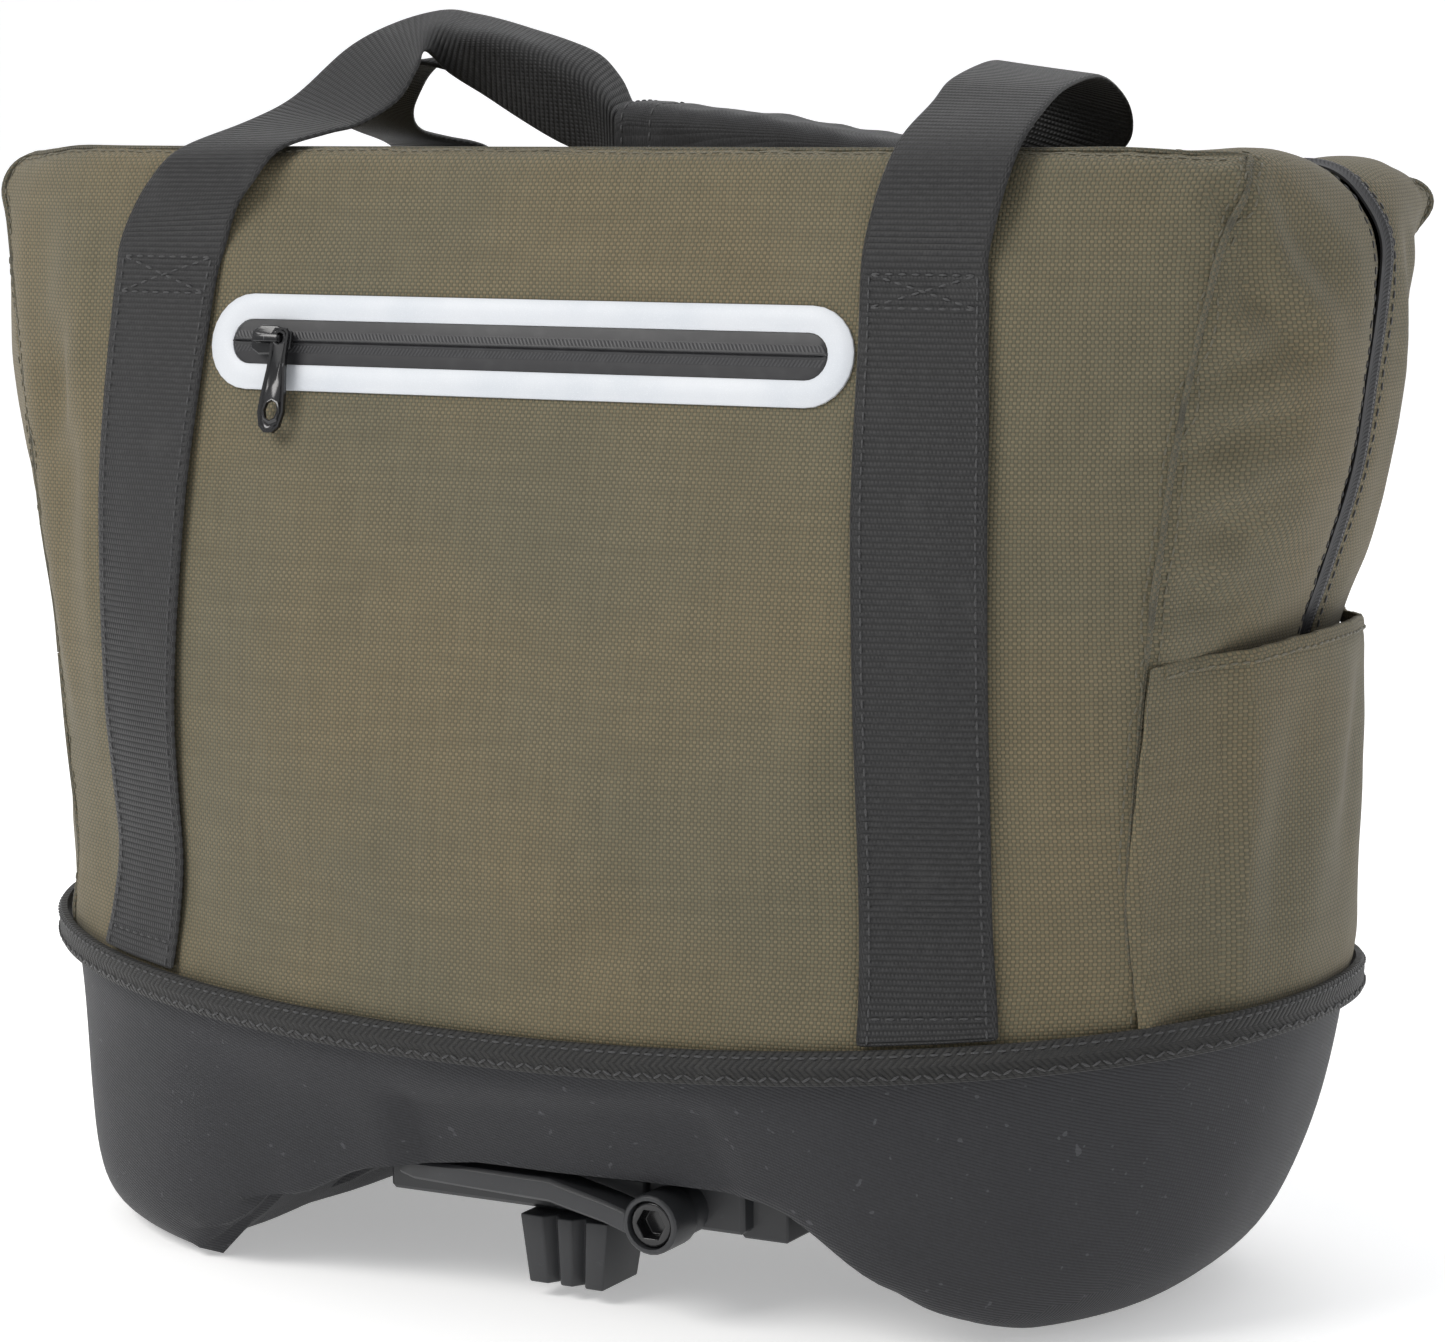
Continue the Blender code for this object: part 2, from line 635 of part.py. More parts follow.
def zip_line_point(end, row):
    """The point of the zip's middle line level with a wall row, on the right or left end."""
    height, x = ZIP_ROWS[row - FIRST_ZIP_ROW]
    if x is None:
        x = end_length(0.0, height)
    return np.array([end * x, 0.0, height])


def top_line_point(share):
    height, x = ZIP_ROWS[-1]
    return np.array([share * x, 0.0, TOP_SAG + (height - TOP_SAG) * abs(share) ** TOP_SAG_POWER])


WALL_SHARES = tuple(np.sin(np.linspace(-1.0, 1.0, 19) * 1.2) / math.sin(1.2))
STRIP_SHARES = (0.0, 0.22, 0.5, 0.78, 1.0)
END_SHARES = (-1.0, -0.9, -0.62, -0.32, 0.0, 0.32, 0.62, 0.9, 1.0)


def wall_grid(side):
    return np.array(
        [[wall_point(side, share, row) for share in WALL_SHARES] for row in range(len(WALL_ROWS))]
    )


def end_strip(side, end, row):
    """Points across a gusset on an end, from the zip's edge to the corner seam."""
    seam = wall_point(side, float(end), row)
    middle = zip_line_point(end, row)
    start = middle + np.array([0.0, side * ZIP_HALF_WIDTH, 0.0])
    strip = [start + (seam - start) * share for share in STRIP_SHARES]
    if ZIP_ROWS[row - FIRST_ZIP_ROW][1] is None:
        for point in strip[:-1]:
            point[0] = end * end_length(point[1], point[2])
    else:
        for point, share in zip(strip, STRIP_SHARES):
            swell = 3.0 * math.sin(math.pi * share)
            point += np.array([end * swell, 0.0, swell])
    return strip


def top_strip(side, share):
    """Points across a gusset on the top, sagging between the wall's edge and the zip."""
    seam = wall_point(side, share, len(WALL_ROWS) - 1)
    middle = top_line_point(share)
    start = middle + np.array([0.0, side * ZIP_HALF_WIDTH, 0.0])
    strip = [start + (seam - start) * across for across in STRIP_SHARES]
    for point, across in zip(strip[1:-1], STRIP_SHARES[1:-1]):
        sag = (seam[2] - middle[2]) * (across**1.7 - across) * (1.0 - abs(share) ** 4)
        swell = 4.5 * abs(share) ** 6 * math.sin(math.pi * across)
        point += np.array([0.0, 0.0, sag + swell])
    return strip


def gusset_grid(side):
    """The strip from the right pocket up over the top to the left pocket."""
    last = len(WALL_ROWS) - 1
    rows = [end_strip(side, 1, row) for row in range(FIRST_ZIP_ROW, last)]
    rows += [top_strip(side, share) for share in WALL_SHARES[::-1]]
    rows += [end_strip(side, -1, row) for row in range(last - 1, FIRST_ZIP_ROW - 1, -1)]
    return np.array(rows)


def foot_level(row, y, height):
    """The height of an end wall's two lowest rows, which follow the trim's rise."""
    if row == 0:
        return wall_foot(rim_length(y))
    if row == 1:
        return trim_top(rim_length(y)) + 3.0
    return height


def end_grid(end):
    """The end wall behind a pocket, from one corner seam to the other."""
    rows = []
    for row in range(FIRST_ZIP_ROW + 1):
        seams = {side: wall_point(side, float(end), row) for side in (-1, 1)}
        line = []
        for share in END_SHARES:
            if abs(share) == 1.0:
                line.append(seams[int(share)])
                continue
            y = share * abs(seams[1][1])
            height = foot_level(row, y, seams[1][2])
            line.append(np.array([end * end_length(y, height), y, height]))
        rows.append(line)
    return np.array(rows)


def zip_grid():
    """The main zip's tape as two edges along its whole line."""
    last = len(WALL_ROWS) - 1
    middle = [zip_line_point(1, row) for row in range(FIRST_ZIP_ROW, last)]
    middle += [top_line_point(share) for share in WALL_SHARES[::-1]]
    middle += [zip_line_point(-1, row) for row in range(last - 1, FIRST_ZIP_ROW - 1, -1)]
    across = np.array([0.0, ZIP_HALF_WIDTH, 0.0])
    return np.array([[point - across, point + across] for point in middle])


def seam_normals(patches):
    """Outward normals of every patch's points, shared where patches meet, and each patch's own."""
    shared = {}
    own = {}
    for name, grid in patches.items():
        own[name] = np.zeros_like(grid)
        for i in range(grid.shape[0] - 1):
            for j in range(grid.shape[1] - 1):
                a, b = grid[i + 1, j + 1] - grid[i, j], grid[i + 1, j] - grid[i, j + 1]
                normal = np.cross(a, b)
                middle = (grid[i, j] + grid[i + 1, j + 1]) / 2 - np.array([0.0, 0.0, 215.0])
                if float(np.dot(normal, middle)) < 0:
                    normal = -normal
                for k, m in ((i, j), (i + 1, j), (i, j + 1), (i + 1, j + 1)):
                    own[name][k, m] += normal
                    key = tuple(np.round(grid[k, m], 3))
                    shared[key] = shared.get(key, np.zeros(3)) + normal
    out = {}
    for name, grid in patches.items():
        out[name] = np.zeros_like(grid)
        for i in range(grid.shape[0]):
            for j in range(grid.shape[1]):
                normal = unit(shared[tuple(np.round(grid[i, j], 3))])
                flat = unit(own[name][i, j])
                out[name][i, j] = normal / max(float(np.dot(normal, flat)), 0.6)
    return out


def pulled_in(grid, amounts):
    """The grid with its four edges drawn in; amounts is for first row, last row, first and last column."""
    out = grid.copy()
    first_row, last_row, first_column, last_column = amounts
    for j in range(grid.shape[1]):
        out[0, j] += unit(grid[1, j] - grid[0, j]) * first_row
        out[-1, j] += unit(grid[-2, j] - grid[-1, j]) * last_row
    for i in range(grid.shape[0]):
        out[i, 0] += unit(grid[i, 1] - grid[i, 0]) * first_column
        out[i, -1] += unit(grid[i, -2] - grid[i, -1]) * last_column
    return out


def make_cloth_body():
    patches = {
        "front_panel": wall_grid(-1),
        "back_panel": wall_grid(1),
        "zip_gusset_front": gusset_grid(-1),
        "zip_gusset_back": gusset_grid(1),
        "end_panel_right": end_grid(1),
        "end_panel_left": end_grid(-1),
        "main_zip_tape": zip_grid(),
    }
    normals = seam_normals(patches)
    for name, grid in patches.items():
        stands_on_tray = name.startswith(("front", "back", "end"))
        first_row = 0.0 if stands_on_tray else SEAM_PULL
        outer = pulled_in(grid, (first_row, SEAM_PULL, SEAM_PULL, SEAM_PULL))
        inner = outer - CLOTH * normals[name]
        if stands_on_tray:
            inner[0, :, 2] = outer[0, :, 2]
        slot = "zip_tape" if name == "main_zip_tape" else "olive_cloth"
        shell(name, outer, inner, slot)


def make_end_pocket(name, end):
    """The low pocket over an end wall, open along its hem."""
    outer = []
    for row, height in enumerate(POCKET_LEVELS):
        corner_y = between(SECTIONS, 2, max(height, TRIM_TOP))
        line = []
        for share in POCKET_SHARES:
            y = share * corner_y
            level = foot_level(row, y, height)
            level += HEM_RISE * (1.0 - share * share) * float(smooth_step(height, 160.0, HEM_HEIGHT))
            line.append(np.array([pocket_length(y, level), y, level]))
        outer.append(line)
    outer = np.array(outer)
    across = np.gradient(outer, axis=1)
    slope = np.stack([across[..., 1], -across[..., 0], np.zeros_like(across[..., 0])], axis=-1)
    slope /= np.linalg.norm(slope, axis=2, keepdims=True)
    inner = outer - CLOTH * slope
    facing = np.array([float(end), 1.0, 1.0])
    shell(name, outer * facing, inner * facing, "olive_cloth")


# The tray and its trim


def floor_height(x):
    """Underside of the tray: the lobes stand on the ground and the tunnel arches between them."""
    top, foot = TUNNEL_LEFT if x < 0 else TUNNEL_RIGHT
    share = min(max((abs(x) - top) / (foot - top), 0.0), 1.0)
    return TUNNEL_CEILING * (1.0 - 0.45 * share - 0.55 * share * share * (3.0 - 2.0 * share))


def even_angles(half_length, half_depth, power, count):
    """Angles of points spaced evenly round a superellipse, with one at each end and side."""
    fine = np.linspace(0.0, math.pi / 2, 400)
    points = np.array([superellipse(half_length, half_depth, power, angle) for angle in fine])
    length = np.concatenate([[0.0], np.cumsum(np.linalg.norm(np.diff(points, axis=0), axis=1))])
    quarter = np.interp(np.linspace(0.0, length[-1], count // 4 + 1), length, fine)[:-1]
    mirrored = np.append(math.pi / 2, quarter[:0:-1])
    angles = []
    for turn in range(4):
        for angle, back in zip(quarter, mirrored):
            if turn % 2 == 0:
                angles.append(turn * math.pi / 2 + angle)
            else:
                angles.append((turn + 1) * math.pi / 2 - back)
    return angles


def tray_point(angle, row):
    share = float(smooth_step(math.cos(angle), -0.5, 0.5))
    left, right = np.array(LEFT_TRAY_ROWS[row]), np.array(RIGHT_TRAY_ROWS[row])
    drop, _, half_depth, power = left + (right - left) * share
    half_length = (left if math.cos(angle) < 0 else right)[1]
    x, y = superellipse(half_length, half_depth, power, angle)
    share = drop / LEFT_TRAY_ROWS[-1][0]
    level = (trim_top(x) - TUCK - GAP) * (1.0 - share)
    recess = RECESS_DEPTH * (1.0 - float(smooth_step(abs(x), *RECESS_SPAN)))
    recess *= float(smooth_step(drop, *RECESS_DROP))
    y -= math.copysign(min(recess, abs(y)), y)
    roof = floor_height(x)
    softness = FLOOR_SOFTNESS * share
    over = level - roof
    if softness > 0.0 and over < 12.0 * softness:
        over = softness * (math.log1p(math.exp(over / softness)) - math.log(2.0) * float(roof < 0.5))
    return np.array([x, y, roof + max(over, 0.0)])


def make_base_shell():
    angles = even_angles(TRIM_HALF_LENGTH, TRIM_HALF_DEPTH, TRIM_POWER, TRAY_COLUMNS)
    rows = [[tray_point(angle, row) for angle in angles] for row in range(len(LEFT_TRAY_ROWS))]
    edge = rows[-1]
    left, right = LEFT_TRAY_ROWS[-1][1], RIGHT_TRAY_ROWS[-1][1]
    for ring in FLOOR_RINGS:
        line = []
        for point in edge:
            middle_x = point[0] * FLOOR_LINE_HALF / (left if point[0] < 0 else right)
            x = middle_x + (point[0] - middle_x) * ring
            line.append(np.array([x, point[1] * ring, floor_height(x)]))
        rows.append(line)
    outer = np.array(rows)
    along = np.roll(outer, -1, axis=1) - np.roll(outer, 1, axis=1)
    normals = np.cross(along, np.gradient(outer, axis=0))
    normals /= np.linalg.norm(normals, axis=2, keepdims=True)
    flip = np.sign((normals * (outer - np.array([0.0, 0.0, 120.0]))).sum(axis=2, keepdims=True))
    inner = outer - FOAM * normals * flip
    inner[0, :, 2] = outer[0, :, 2]
    bm = bmesh.new()
    half = TRAY_COLUMNS // 2
    rims = []
    for grid in (outer, inner):
        points = add_points(bm, grid)
        add_faces(bm, points, True)
        ring = points[-1]
        for i in range(half):
            corners = [ring[i], ring[i + 1], ring[-i - 1], ring[-i]]
            bm.faces.new(list(dict.fromkeys(corners)))
        rims.append(points[0])
    add_faces(bm, rims, True)
    object_of("base_shell", bm, "foam_skin")


def make_trim():
    """A band that wraps the joint of tray and cloth, with a slightly rounded face."""
    # height up the band, how far its face stands back
    profile = ((0.0, 1.0), (0.24, 0.0), (0.76, 0.0), (1.0, 1.0))
    sections = []
    for angle in even_angles(TRIM_HALF_LENGTH, TRIM_HALF_DEPTH, TRIM_POWER, TRIM_COLUMNS):
        ring = []
        x, _ = superellipse(TRIM_HALF_LENGTH, TRIM_HALF_DEPTH, TRIM_POWER, angle)
        foot = trim_top(x) - TRIM_HEIGHT
        for up, back in profile:
            a, b = TRIM_HALF_LENGTH - back, TRIM_HALF_DEPTH - back
            point = superellipse(a, b, TRIM_POWER, angle)
            ring.append((point[0], point[1], foot + up * TRIM_HEIGHT))
        inner_a = TRIM_HALF_LENGTH - TRIM_THICKNESS
        inner_b = TRIM_HALF_DEPTH - TRIM_THICKNESS
        for up in (1.0, 0.0):
            point = superellipse(inner_a, inner_b, TRIM_POWER, angle)
            ring.append((point[0], point[1], foot + up * TRIM_HEIGHT))
        sections.append(ring)
    bm = bmesh.new()
    rows = add_points(bm, sections + sections[:1])
    add_faces(bm, rows, True)
    object_of("trim_binding", bm, "trim_tape")


# Handles


def smooth_run(points, steps):
    """A smooth curve through the points, with steps to each stretch."""
    points = np.array(points, float)
    padded = np.vstack([2 * points[0] - points[1], points, 2 * points[-1] - points[-2]])
    out = []
    for i in range(len(points) - 1):
        p0, p1, p2, p3 = padded[i : i + 4]
        for step in range(steps):
            t = step / steps
            out.append(
                0.5
                * (
                    2 * p1
                    + (p2 - p0) * t
                    + (2 * p0 - 5 * p1 + 4 * p2 - p3) * t * t
                    + (3 * p1 - 3 * p2 + p3 - p0) * t**3
                )
            )
    out.append(points[-1])
    return np.array(out)


def strap_on_wall(side, sign, first_edge, last_edge):
    """Stations of a strap's outer face up a wall, from the trim to its box of stitching."""
    stations = []
    middle_x = 0.5 * (STRAP_EDGES[0][1] + STRAP_EDGES[0][2])
    for height in (trim_top(middle_x) + 3.2,) + STRAP_ROWS:
        edges = {"inner": between(STRAP_EDGES, 1, height), "outer": between(STRAP_EDGES, 2, height)}
        station = []
        start, end = edges[first_edge], edges[last_edge]
        for share in (0.0, CREASE_SHARE, 1.0):
            x = start + (end - start) * share
            proud = STRAP_GAP + WEBBING
            level = height
            if height < 100.0:
                level = trim_top(x) + 1.0
            section = section_level(side, level)
            surface = wall_depth(side, sign * x, section, False)
            slope = (wall_depth(side, sign * (x + 2.0), section, False) - surface) / 2.0
            normal = unit(np.array([-slope, 1.0]))
            station.append((sign * (x + proud * normal[0]), side * (surface + proud * normal[1]), level))
        stations.append(station)
    return stations


def full_station(row):
    first, crease, last = (None if point is None else np.array(point, float) for point in row)
    if crease is None:
        crease = first + (last - first) * CREASE_SHARE
    return [first, crease, last]


def ribbon_normals(stations):
    """Outward normals of the two strips on either side of the crease, at every station."""
    stations = np.array(stations, float)
    run = np.gradient(stations, axis=0)
    first = np.cross(stations[:, 1] - stations[:, 0], run[:, 0] + run[:, 1])
    second = np.cross(stations[:, 2] - stations[:, 1], run[:, 1] + run[:, 2])
    first /= np.linalg.norm(first, axis=1, keepdims=True)
    second /= np.linalg.norm(second, axis=1, keepdims=True)
    return first, second


def sunk(stations, depth):
    """The stations moved inwards, as the inner face of a webbing or of a second one under it."""
    stations = np.array(stations, float)
    first, second = ribbon_normals(stations)
    share = 1.0 + np.maximum((first * second).sum(axis=1, keepdims=True), -0.3)
    out = stations.copy()
    out[:, 0] -= depth * first
    out[:, 1] -= depth * (first + second) / share
    out[:, 2] -= depth * second
    return out


def webbing(name, stations):
    inner = sunk(stations, WEBBING)
    sections = []
    for over, under in zip(np.array(stations, float), inner):
        sections.append([over[0], over[1], over[2], under[2], under[1], under[0]])
    tube(name, sections, "black_webbing")


def make_handles():
    run = [full_station(row) for row in FRONT_RUN]
    left = strap_on_wall(-1, -1, "outer", "inner")
    right = strap_on_wall(-1, 1, "outer", "inner")
    free = smooth_run(np.array(run).reshape(len(run), 9), 1).reshape(-1, 3, 3)
    front = left + list(free) + right[::-1]
    webbing("front_handle_webbing", front)
    parting = NEST_LAST + 1 - PARTING_ROWS
    nested = list(sunk(free, NEST_DEPTH)[NEST_FIRST:parting])
    nested += list(sunk(free, PARTING_DEPTH)[parting : NEST_LAST + 1])
    rear_left = [full_station(row) for row in REAR_LEFT]
    rear_right = [full_station(row) for row in REAR_RIGHT]
    back_left = strap_on_wall(1, -1, "inner", "outer")[:-1]
    back_right = strap_on_wall(1, 1, "inner", "outer")[:-1]
    rear = back_left + rear_left + nested + rear_right + back_right[::-1]
    webbing("rear_handle_webbing", rear)


def grip_ring(row, inset):
    x, middle_y, top, height, width = row
    ring = []
    for i in range(GRIP_SIDES):
        angle = 2.0 * math.pi * (i + 0.5) / GRIP_SIDES
        y, z = superellipse(width / 2 - inset, height / 2 - inset, GRIP_POWER, angle)
        ring.append((x, middle_y + y, top - height / 2 + z))
    return ring


def make_grip():
    outer = [grip_ring(row, 0.0) for row in GRIP_ROWS]
    inner = [grip_ring(row, GRIP_WALL) for row in GRIP_ROWS]
    shell("handle_grip", np.array(outer), np.array(inner), "grip_cloth", wrap=True)


# The pocket zip


def on_front(x, z, proud):
    """A point that stands proud of the front wall."""
    depth = wall_depth(-1, x, z)
    slope_x = (wall_depth(-1, x + 2.0, z) - depth) / 2.0
    slope_z = (wall_depth(-1, x, z + 2.0) - depth) / 2.0
    normal = unit(np.array([slope_x, -1.0, slope_z]) * np.array([-1.0, 1.0, -1.0]))
    return np.array([x, -depth, z]) + proud * normal


def stadium(half_length, half_height, count):
    """Round-ended outline, counted the same way for any size."""
    straight = half_length - half_height
    points = []
    for i in range(count):
        angle = math.pi * (i / (count - 1)) - math.pi / 2
        points.append((straight + half_height * math.cos(angle), half_height * math.sin(angle)))
    for step in (0.6, 0.2, -0.2, -0.6):
        points.append((straight * step, half_height))
    for i in range(count):
        angle = math.pi * (i / (count - 1)) + math.pi / 2
        points.append((-straight + half_height * math.cos(angle), half_height * math.sin(angle)))
    for step in (-0.6, -0.2, 0.2, 0.6):
        points.append((straight * step, -half_height))
    return points


def make_zip_frame():
    outline = stadium(FRAME_HALF_LENGTH, FRAME_HALF_HEIGHT, 8)
    window = stadium(WINDOW_HALF_LENGTH, WINDOW_HALF_HEIGHT, 8)
    sections = []
    for (x, z), (wx, wz) in zip(outline, window):
        ring = []
        for px, pz, proud in (
            (x, z, FRAME_GAP),
            (x, z, FRAME_GAP + FRAME_THICKNESS),
            (wx, wz, FRAME_GAP + FRAME_THICKNESS),
            (wx, wz, FRAME_GAP),
        ):
            ring.append(on_front(px, FRAME_HEIGHT + pz, proud))
        sections.append(ring)
    bm = bmesh.new()
    rows = add_points(bm, sections + sections[:1])
    add_faces(bm, rows, True)
    object_of("reflective_zip_frame", bm, "reflective")


def make_pocket_zip_tape():
    """Coated tape that fills the frame's window, with a low ridge along its middle."""
    half_length = WINDOW_HALF_LENGTH - GAP
    half_height = WINDOW_HALF_HEIGHT - GAP
    outer = []
    inner = []
    for x in np.linspace(-half_length, half_length, 18):
        over = max(abs(x) - (half_length - half_height), 0.0)
        half = math.sqrt(max(half_height**2 - over**2, 0.6))
        out_row = []
        in_row = []
        for share, ridge in ((-1.0, 0.0), (-0.22, 0.1), (0.0, TAPE_RIDGE), (0.22, 0.1), (1.0, 0.0)):
            z = FRAME_HEIGHT + share * half
            out_row.append(on_front(x, z, FRAME_GAP + TAPE_THICKNESS - GAP + ridge))
            in_row.append(on_front(x, z, FRAME_GAP))
        outer.append(out_row)
        inner.append(in_row)
    shell("pocket_zip_tape", np.array(outer), np.array(inner), "zip_tape")


def placed(bm, frame):
    """The bmesh moved from a local frame, given as its origin and three axes, to the bag's."""
    origin, along, across, outward = frame
    for vertex in bm.verts:
        u, v, w = vertex.co
        vertex.co = [float(value) for value in origin + u * along + v * across + w * outward]
    return bm


def front_frame(x, z, proud):
    """Along X, up the wall and outwards, at a point of the front."""
    outward = unit(on_front(x, z, 10.0) - on_front(x, z, 0.0))
    along = np.array([1.0, 0.0, 0.0])
    return on_front(x, z, proud), along, unit(np.cross(outward, along)), outward


def left_end_frame(z, proud):
    """Down the zip, across it and outwards, at the middle of the left end."""
    here = np.array([-end_length(0.0, z), 0.0, z])
    along = unit(here - np.array([-end_length(0.0, z + 8.0), 0.0, z + 8.0]))
    across = np.array([0.0, -1.0, 0.0])
    outward = unit(np.cross(along, across))
    return here + proud * outward, along, across, outward


def make_slider(name, frame):
    """A zip slider: a waisted plate under an arched bridge that holds its pull."""
    bm = bmesh.new()
    outline = list(SLIDER_OUTLINE) + [(a, -b) for a, b in SLIDER_OUTLINE[::-1]]
    prism(bm, outline, 0.0, SLIDER_PLATE, "z")
    soften(bm, 0.4)
    plate = object_of(name, placed(bm, frame), "black_metal")
    bridge = bmesh.new()
    foot = SLIDER_PLATE - 0.5
    inner_top, outer_top = BRIDGE_CLEAR, BRIDGE_CLEAR + 1.0
    arch = (
        (-5.0, foot), (-4.2, outer_top), (LEG_AT, outer_top), (LEG_AT + 0.7, foot),
        (LEG_AT - 0.7, foot), (LEG_AT - 0.8, inner_top), (-3.2, inner_top), (-3.6, foot),
    )
    prism(bridge, arch, -1.0, 1.0, "y")
    arch_object = object_of(name + "_bridge", placed(bridge, frame), "black_metal")
    boolean(plate, arch_object, "UNION")


def make_pull(name, frame, down):
    """Pull tab with an eye round its slider's leg and a ring at its lower end."""
    origin, along, across, outward = frame
    pivot = origin + LEG_AT * along
    side = np.cross(down, outward)
    tab_frame = (pivot, side, down, outward)
    low = SLIDER_PLATE + GAP
    bm = bmesh.new()
    outline = list(PULL_OUTLINE) + [(-a, b) for a, b in PULL_OUTLINE[::-1]]
    prism(bm, outline, low, low + PULL_THICKNESS, "z")
    tab = object_of(name, placed(bm, tab_frame), "black_metal", origin=tuple(pivot))
    for index, (middle, half_height, half_width) in enumerate(PULL_HOLES):
        cutter = bmesh.new()
        hole = circle(0.0, middle, half_width, 8, half_height)
        prism(cutter, hole, low - 2.0, low + PULL_THICKNESS + 2.0, "z")
        eye = object_of(f"{name}_hole_{index}", placed(cutter, tab_frame), "black_metal")
        boolean(tab, eye, "DIFFERENCE")


def make_zip_sliders():
    tape_top = FRAME_GAP + TAPE_THICKNESS + 0.4
    frame = front_frame(SLIDER_X, FRAME_HEIGHT, tape_top + GAP)
    make_slider("pocket_zip_slider", frame)
    make_pull("pocket_zip_pull", frame, -frame[2])
    frame = left_end_frame(MAIN_SLIDER_HEIGHT, GAP + 0.5)
    make_slider("main_zip_slider", frame)
    make_pull("main_zip_pull", frame, frame[1])


# The mount in the tunnel


def box_ring(low, high):
    return ((low[0], low[1]), (high[0], low[1]), (high[0], high[1]), (low[0], high[1]))


def make_housing():
    """A block with a raised plate, a step on its right, a seat below and a boss behind the bolt."""
    bm = bmesh.new()
    outline = box_ring((HOUSING_LEFT, HOUSING_FOOT), (HOUSING_RIGHT, HOUSING_TOP))
    prism(bm, outline, HOUSING_FRONT, HOUSING_BACK, "y")
    soften(bm, 1.2)
    block = object_of("adapter_housing", bm, "black_plastic", smooth=False)
    for name, low, high in HOUSING_BLOCKS:
        piece = bmesh.new()
        prism(piece, box_ring((low[0], low[2]), (high[0], high[2])), low[1], high[1], "y")
        soften(piece, 0.8)
        boolean(block, object_of(name, piece, "black_plastic", smooth=False), "UNION")
    boss = bmesh.new()
    outline = circle(BOLT_X, BOLT_Z, BOSS_RADIUS, 16)
    prism(boss, outline, LEVER_BACK + GAP, HOUSING_FRONT + 5.0, "y")
    boolean(block, object_of("housing_boss", boss, "black_plastic"), "UNION")
    notch = bmesh.new()
    left, right, low, depth = NOTCH
    outline = box_ring((left, low), (right, HOUSING_TOP + 9.0))
    prism(notch, outline, HOUSING_FRONT - 9.0, HOUSING_FRONT - 4.0 + depth, "y")
    boolean(block, object_of("housing_notch", notch, "black_plastic"), "DIFFERENCE")


def make_tongue():
    """A tapered rib that hangs from the housing, with two grooves down its front."""
    front, back = LEVER_BACK + 2.2, HOUSING_FRONT + 18.0
    width = TONGUE_RIGHT - TONGUE_LEFT
    outline = [(TONGUE_LEFT, back), (TONGUE_LEFT, front)]
    for groove in (0.34, 0.67):
        middle = TONGUE_LEFT + groove * width
        outline += [(middle - 2.6, front), (middle, front + 4.2), (middle + 2.6, front)]
    outline += [(TONGUE_RIGHT, front), (TONGUE_RIGHT, back)]
    bm = bmesh.new()
    prism(bm, outline, TONGUE_FOOT, HOUSING_FOOT - GAP, "z", taper=0.84)
    object_of("adapter_tongue", bm, "black_plastic", smooth=False)


def make_lever():
    """The release lever: a stepped bar that ends in a collar round the bolt's head."""
    sections = []
    back = LEVER_BACK - 1.2
    for x, low, high, behind in LEVER_BAR:
        face = LEVER_FRONT + behind
        ring = [(x, back, low), (x, face + 1.0, low), (x, face, low + 1.0)]
        ring += [(x, face, high - 1.0), (x, face + 1.0, high), (x, back, high)]
        sections.append(ring)
    bm = bmesh.new()
    rows = add_points(bm, sections)
    add_faces(bm, rows, True)
    bm.faces.new(rows[0])
    bm.faces.new(rows[-1])
    pivot = (BOLT_X, 0.5 * (LEVER_FRONT + LEVER_BACK), BOLT_Z)
    lever = object_of("release_lever", bm, "black_plastic", origin=pivot)
    collar = bmesh.new()
    prism(collar, circle(BOLT_X, BOLT_Z, COLLAR_RADIUS, 24), LEVER_FRONT, LEVER_BACK, "y")
    soften(collar, 0.6)
    boolean(lever, object_of("lever_collar", collar, "black_plastic"), "UNION")
    for name, radius, low, high in (
        ("lever_bore", COLLAR_BORE, LEVER_FRONT - 3.0, LEVER_BACK - 2.0),
        ("lever_shank_hole", SHANK_RADIUS + GAP, LEVER_FRONT - 3.0, LEVER_BACK + 3.0),
    ):
        cutter = bmesh.new()
        prism(cutter, circle(BOLT_X, BOLT_Z, radius, 24), low, high, "y")
        boolean(lever, object_of(name, cutter, "black_plastic"), "DIFFERENCE")


def make_bolt():
    """A socket-head bolt that ends on the housing's boss."""
    bm = bmesh.new()
    # along Y, radius
    steps = (
        (LEVER_FRONT + 0.9, 0.0),
        (LEVER_FRONT + 0.9, BOLT_HEAD_RADIUS - 0.7),
        (LEVER_FRONT + 1.6, BOLT_HEAD_RADIUS),
        (LEVER_BACK - 2.0 - GAP, BOLT_HEAD_RADIUS),
        (LEVER_BACK - 2.0 - GAP, SHANK_RADIUS),
        (LEVER_BACK, SHANK_RADIUS),
        (LEVER_BACK, 0.0),
    )
    profile = [bm.verts.new((BOLT_X + radius, y, BOLT_Z)) for y, radius in steps]
    edges = [bm.edges.new(pair) for pair in zip(profile, profile[1:])]
    bmesh.ops.spin(
        bm,
        geom=profile + edges,
        cent=(BOLT_X, 0.0, BOLT_Z),
        axis=(0.0, 1.0, 0.0),
        angle=2.0 * math.pi,
        steps=24,
        use_merge=True,
    )
    bolt = object_of("pivot_bolt", bm, "black_metal")
    socket = bmesh.new()
    outline = circle(BOLT_X, BOLT_Z, HEX_FLATS / math.sqrt(3.0), 6)
    prism(socket, outline, LEVER_FRONT - 3.0, LEVER_FRONT + 5.9, "y")
    boolean(bolt, object_of("bolt_socket", socket, "black_metal"), "DIFFERENCE")


def main():
    clear_scene()
    make_base_shell()
    make_trim()
    make_cloth_body()
    make_end_pocket("end_pocket_right", 1)
    make_end_pocket("end_pocket_left", -1)
    make_handles()
    make_grip()
    make_zip_frame()
    make_pocket_zip_tape()
    make_zip_sliders()
    make_housing()
    make_tongue()
    make_lever()
    make_bolt()


main()
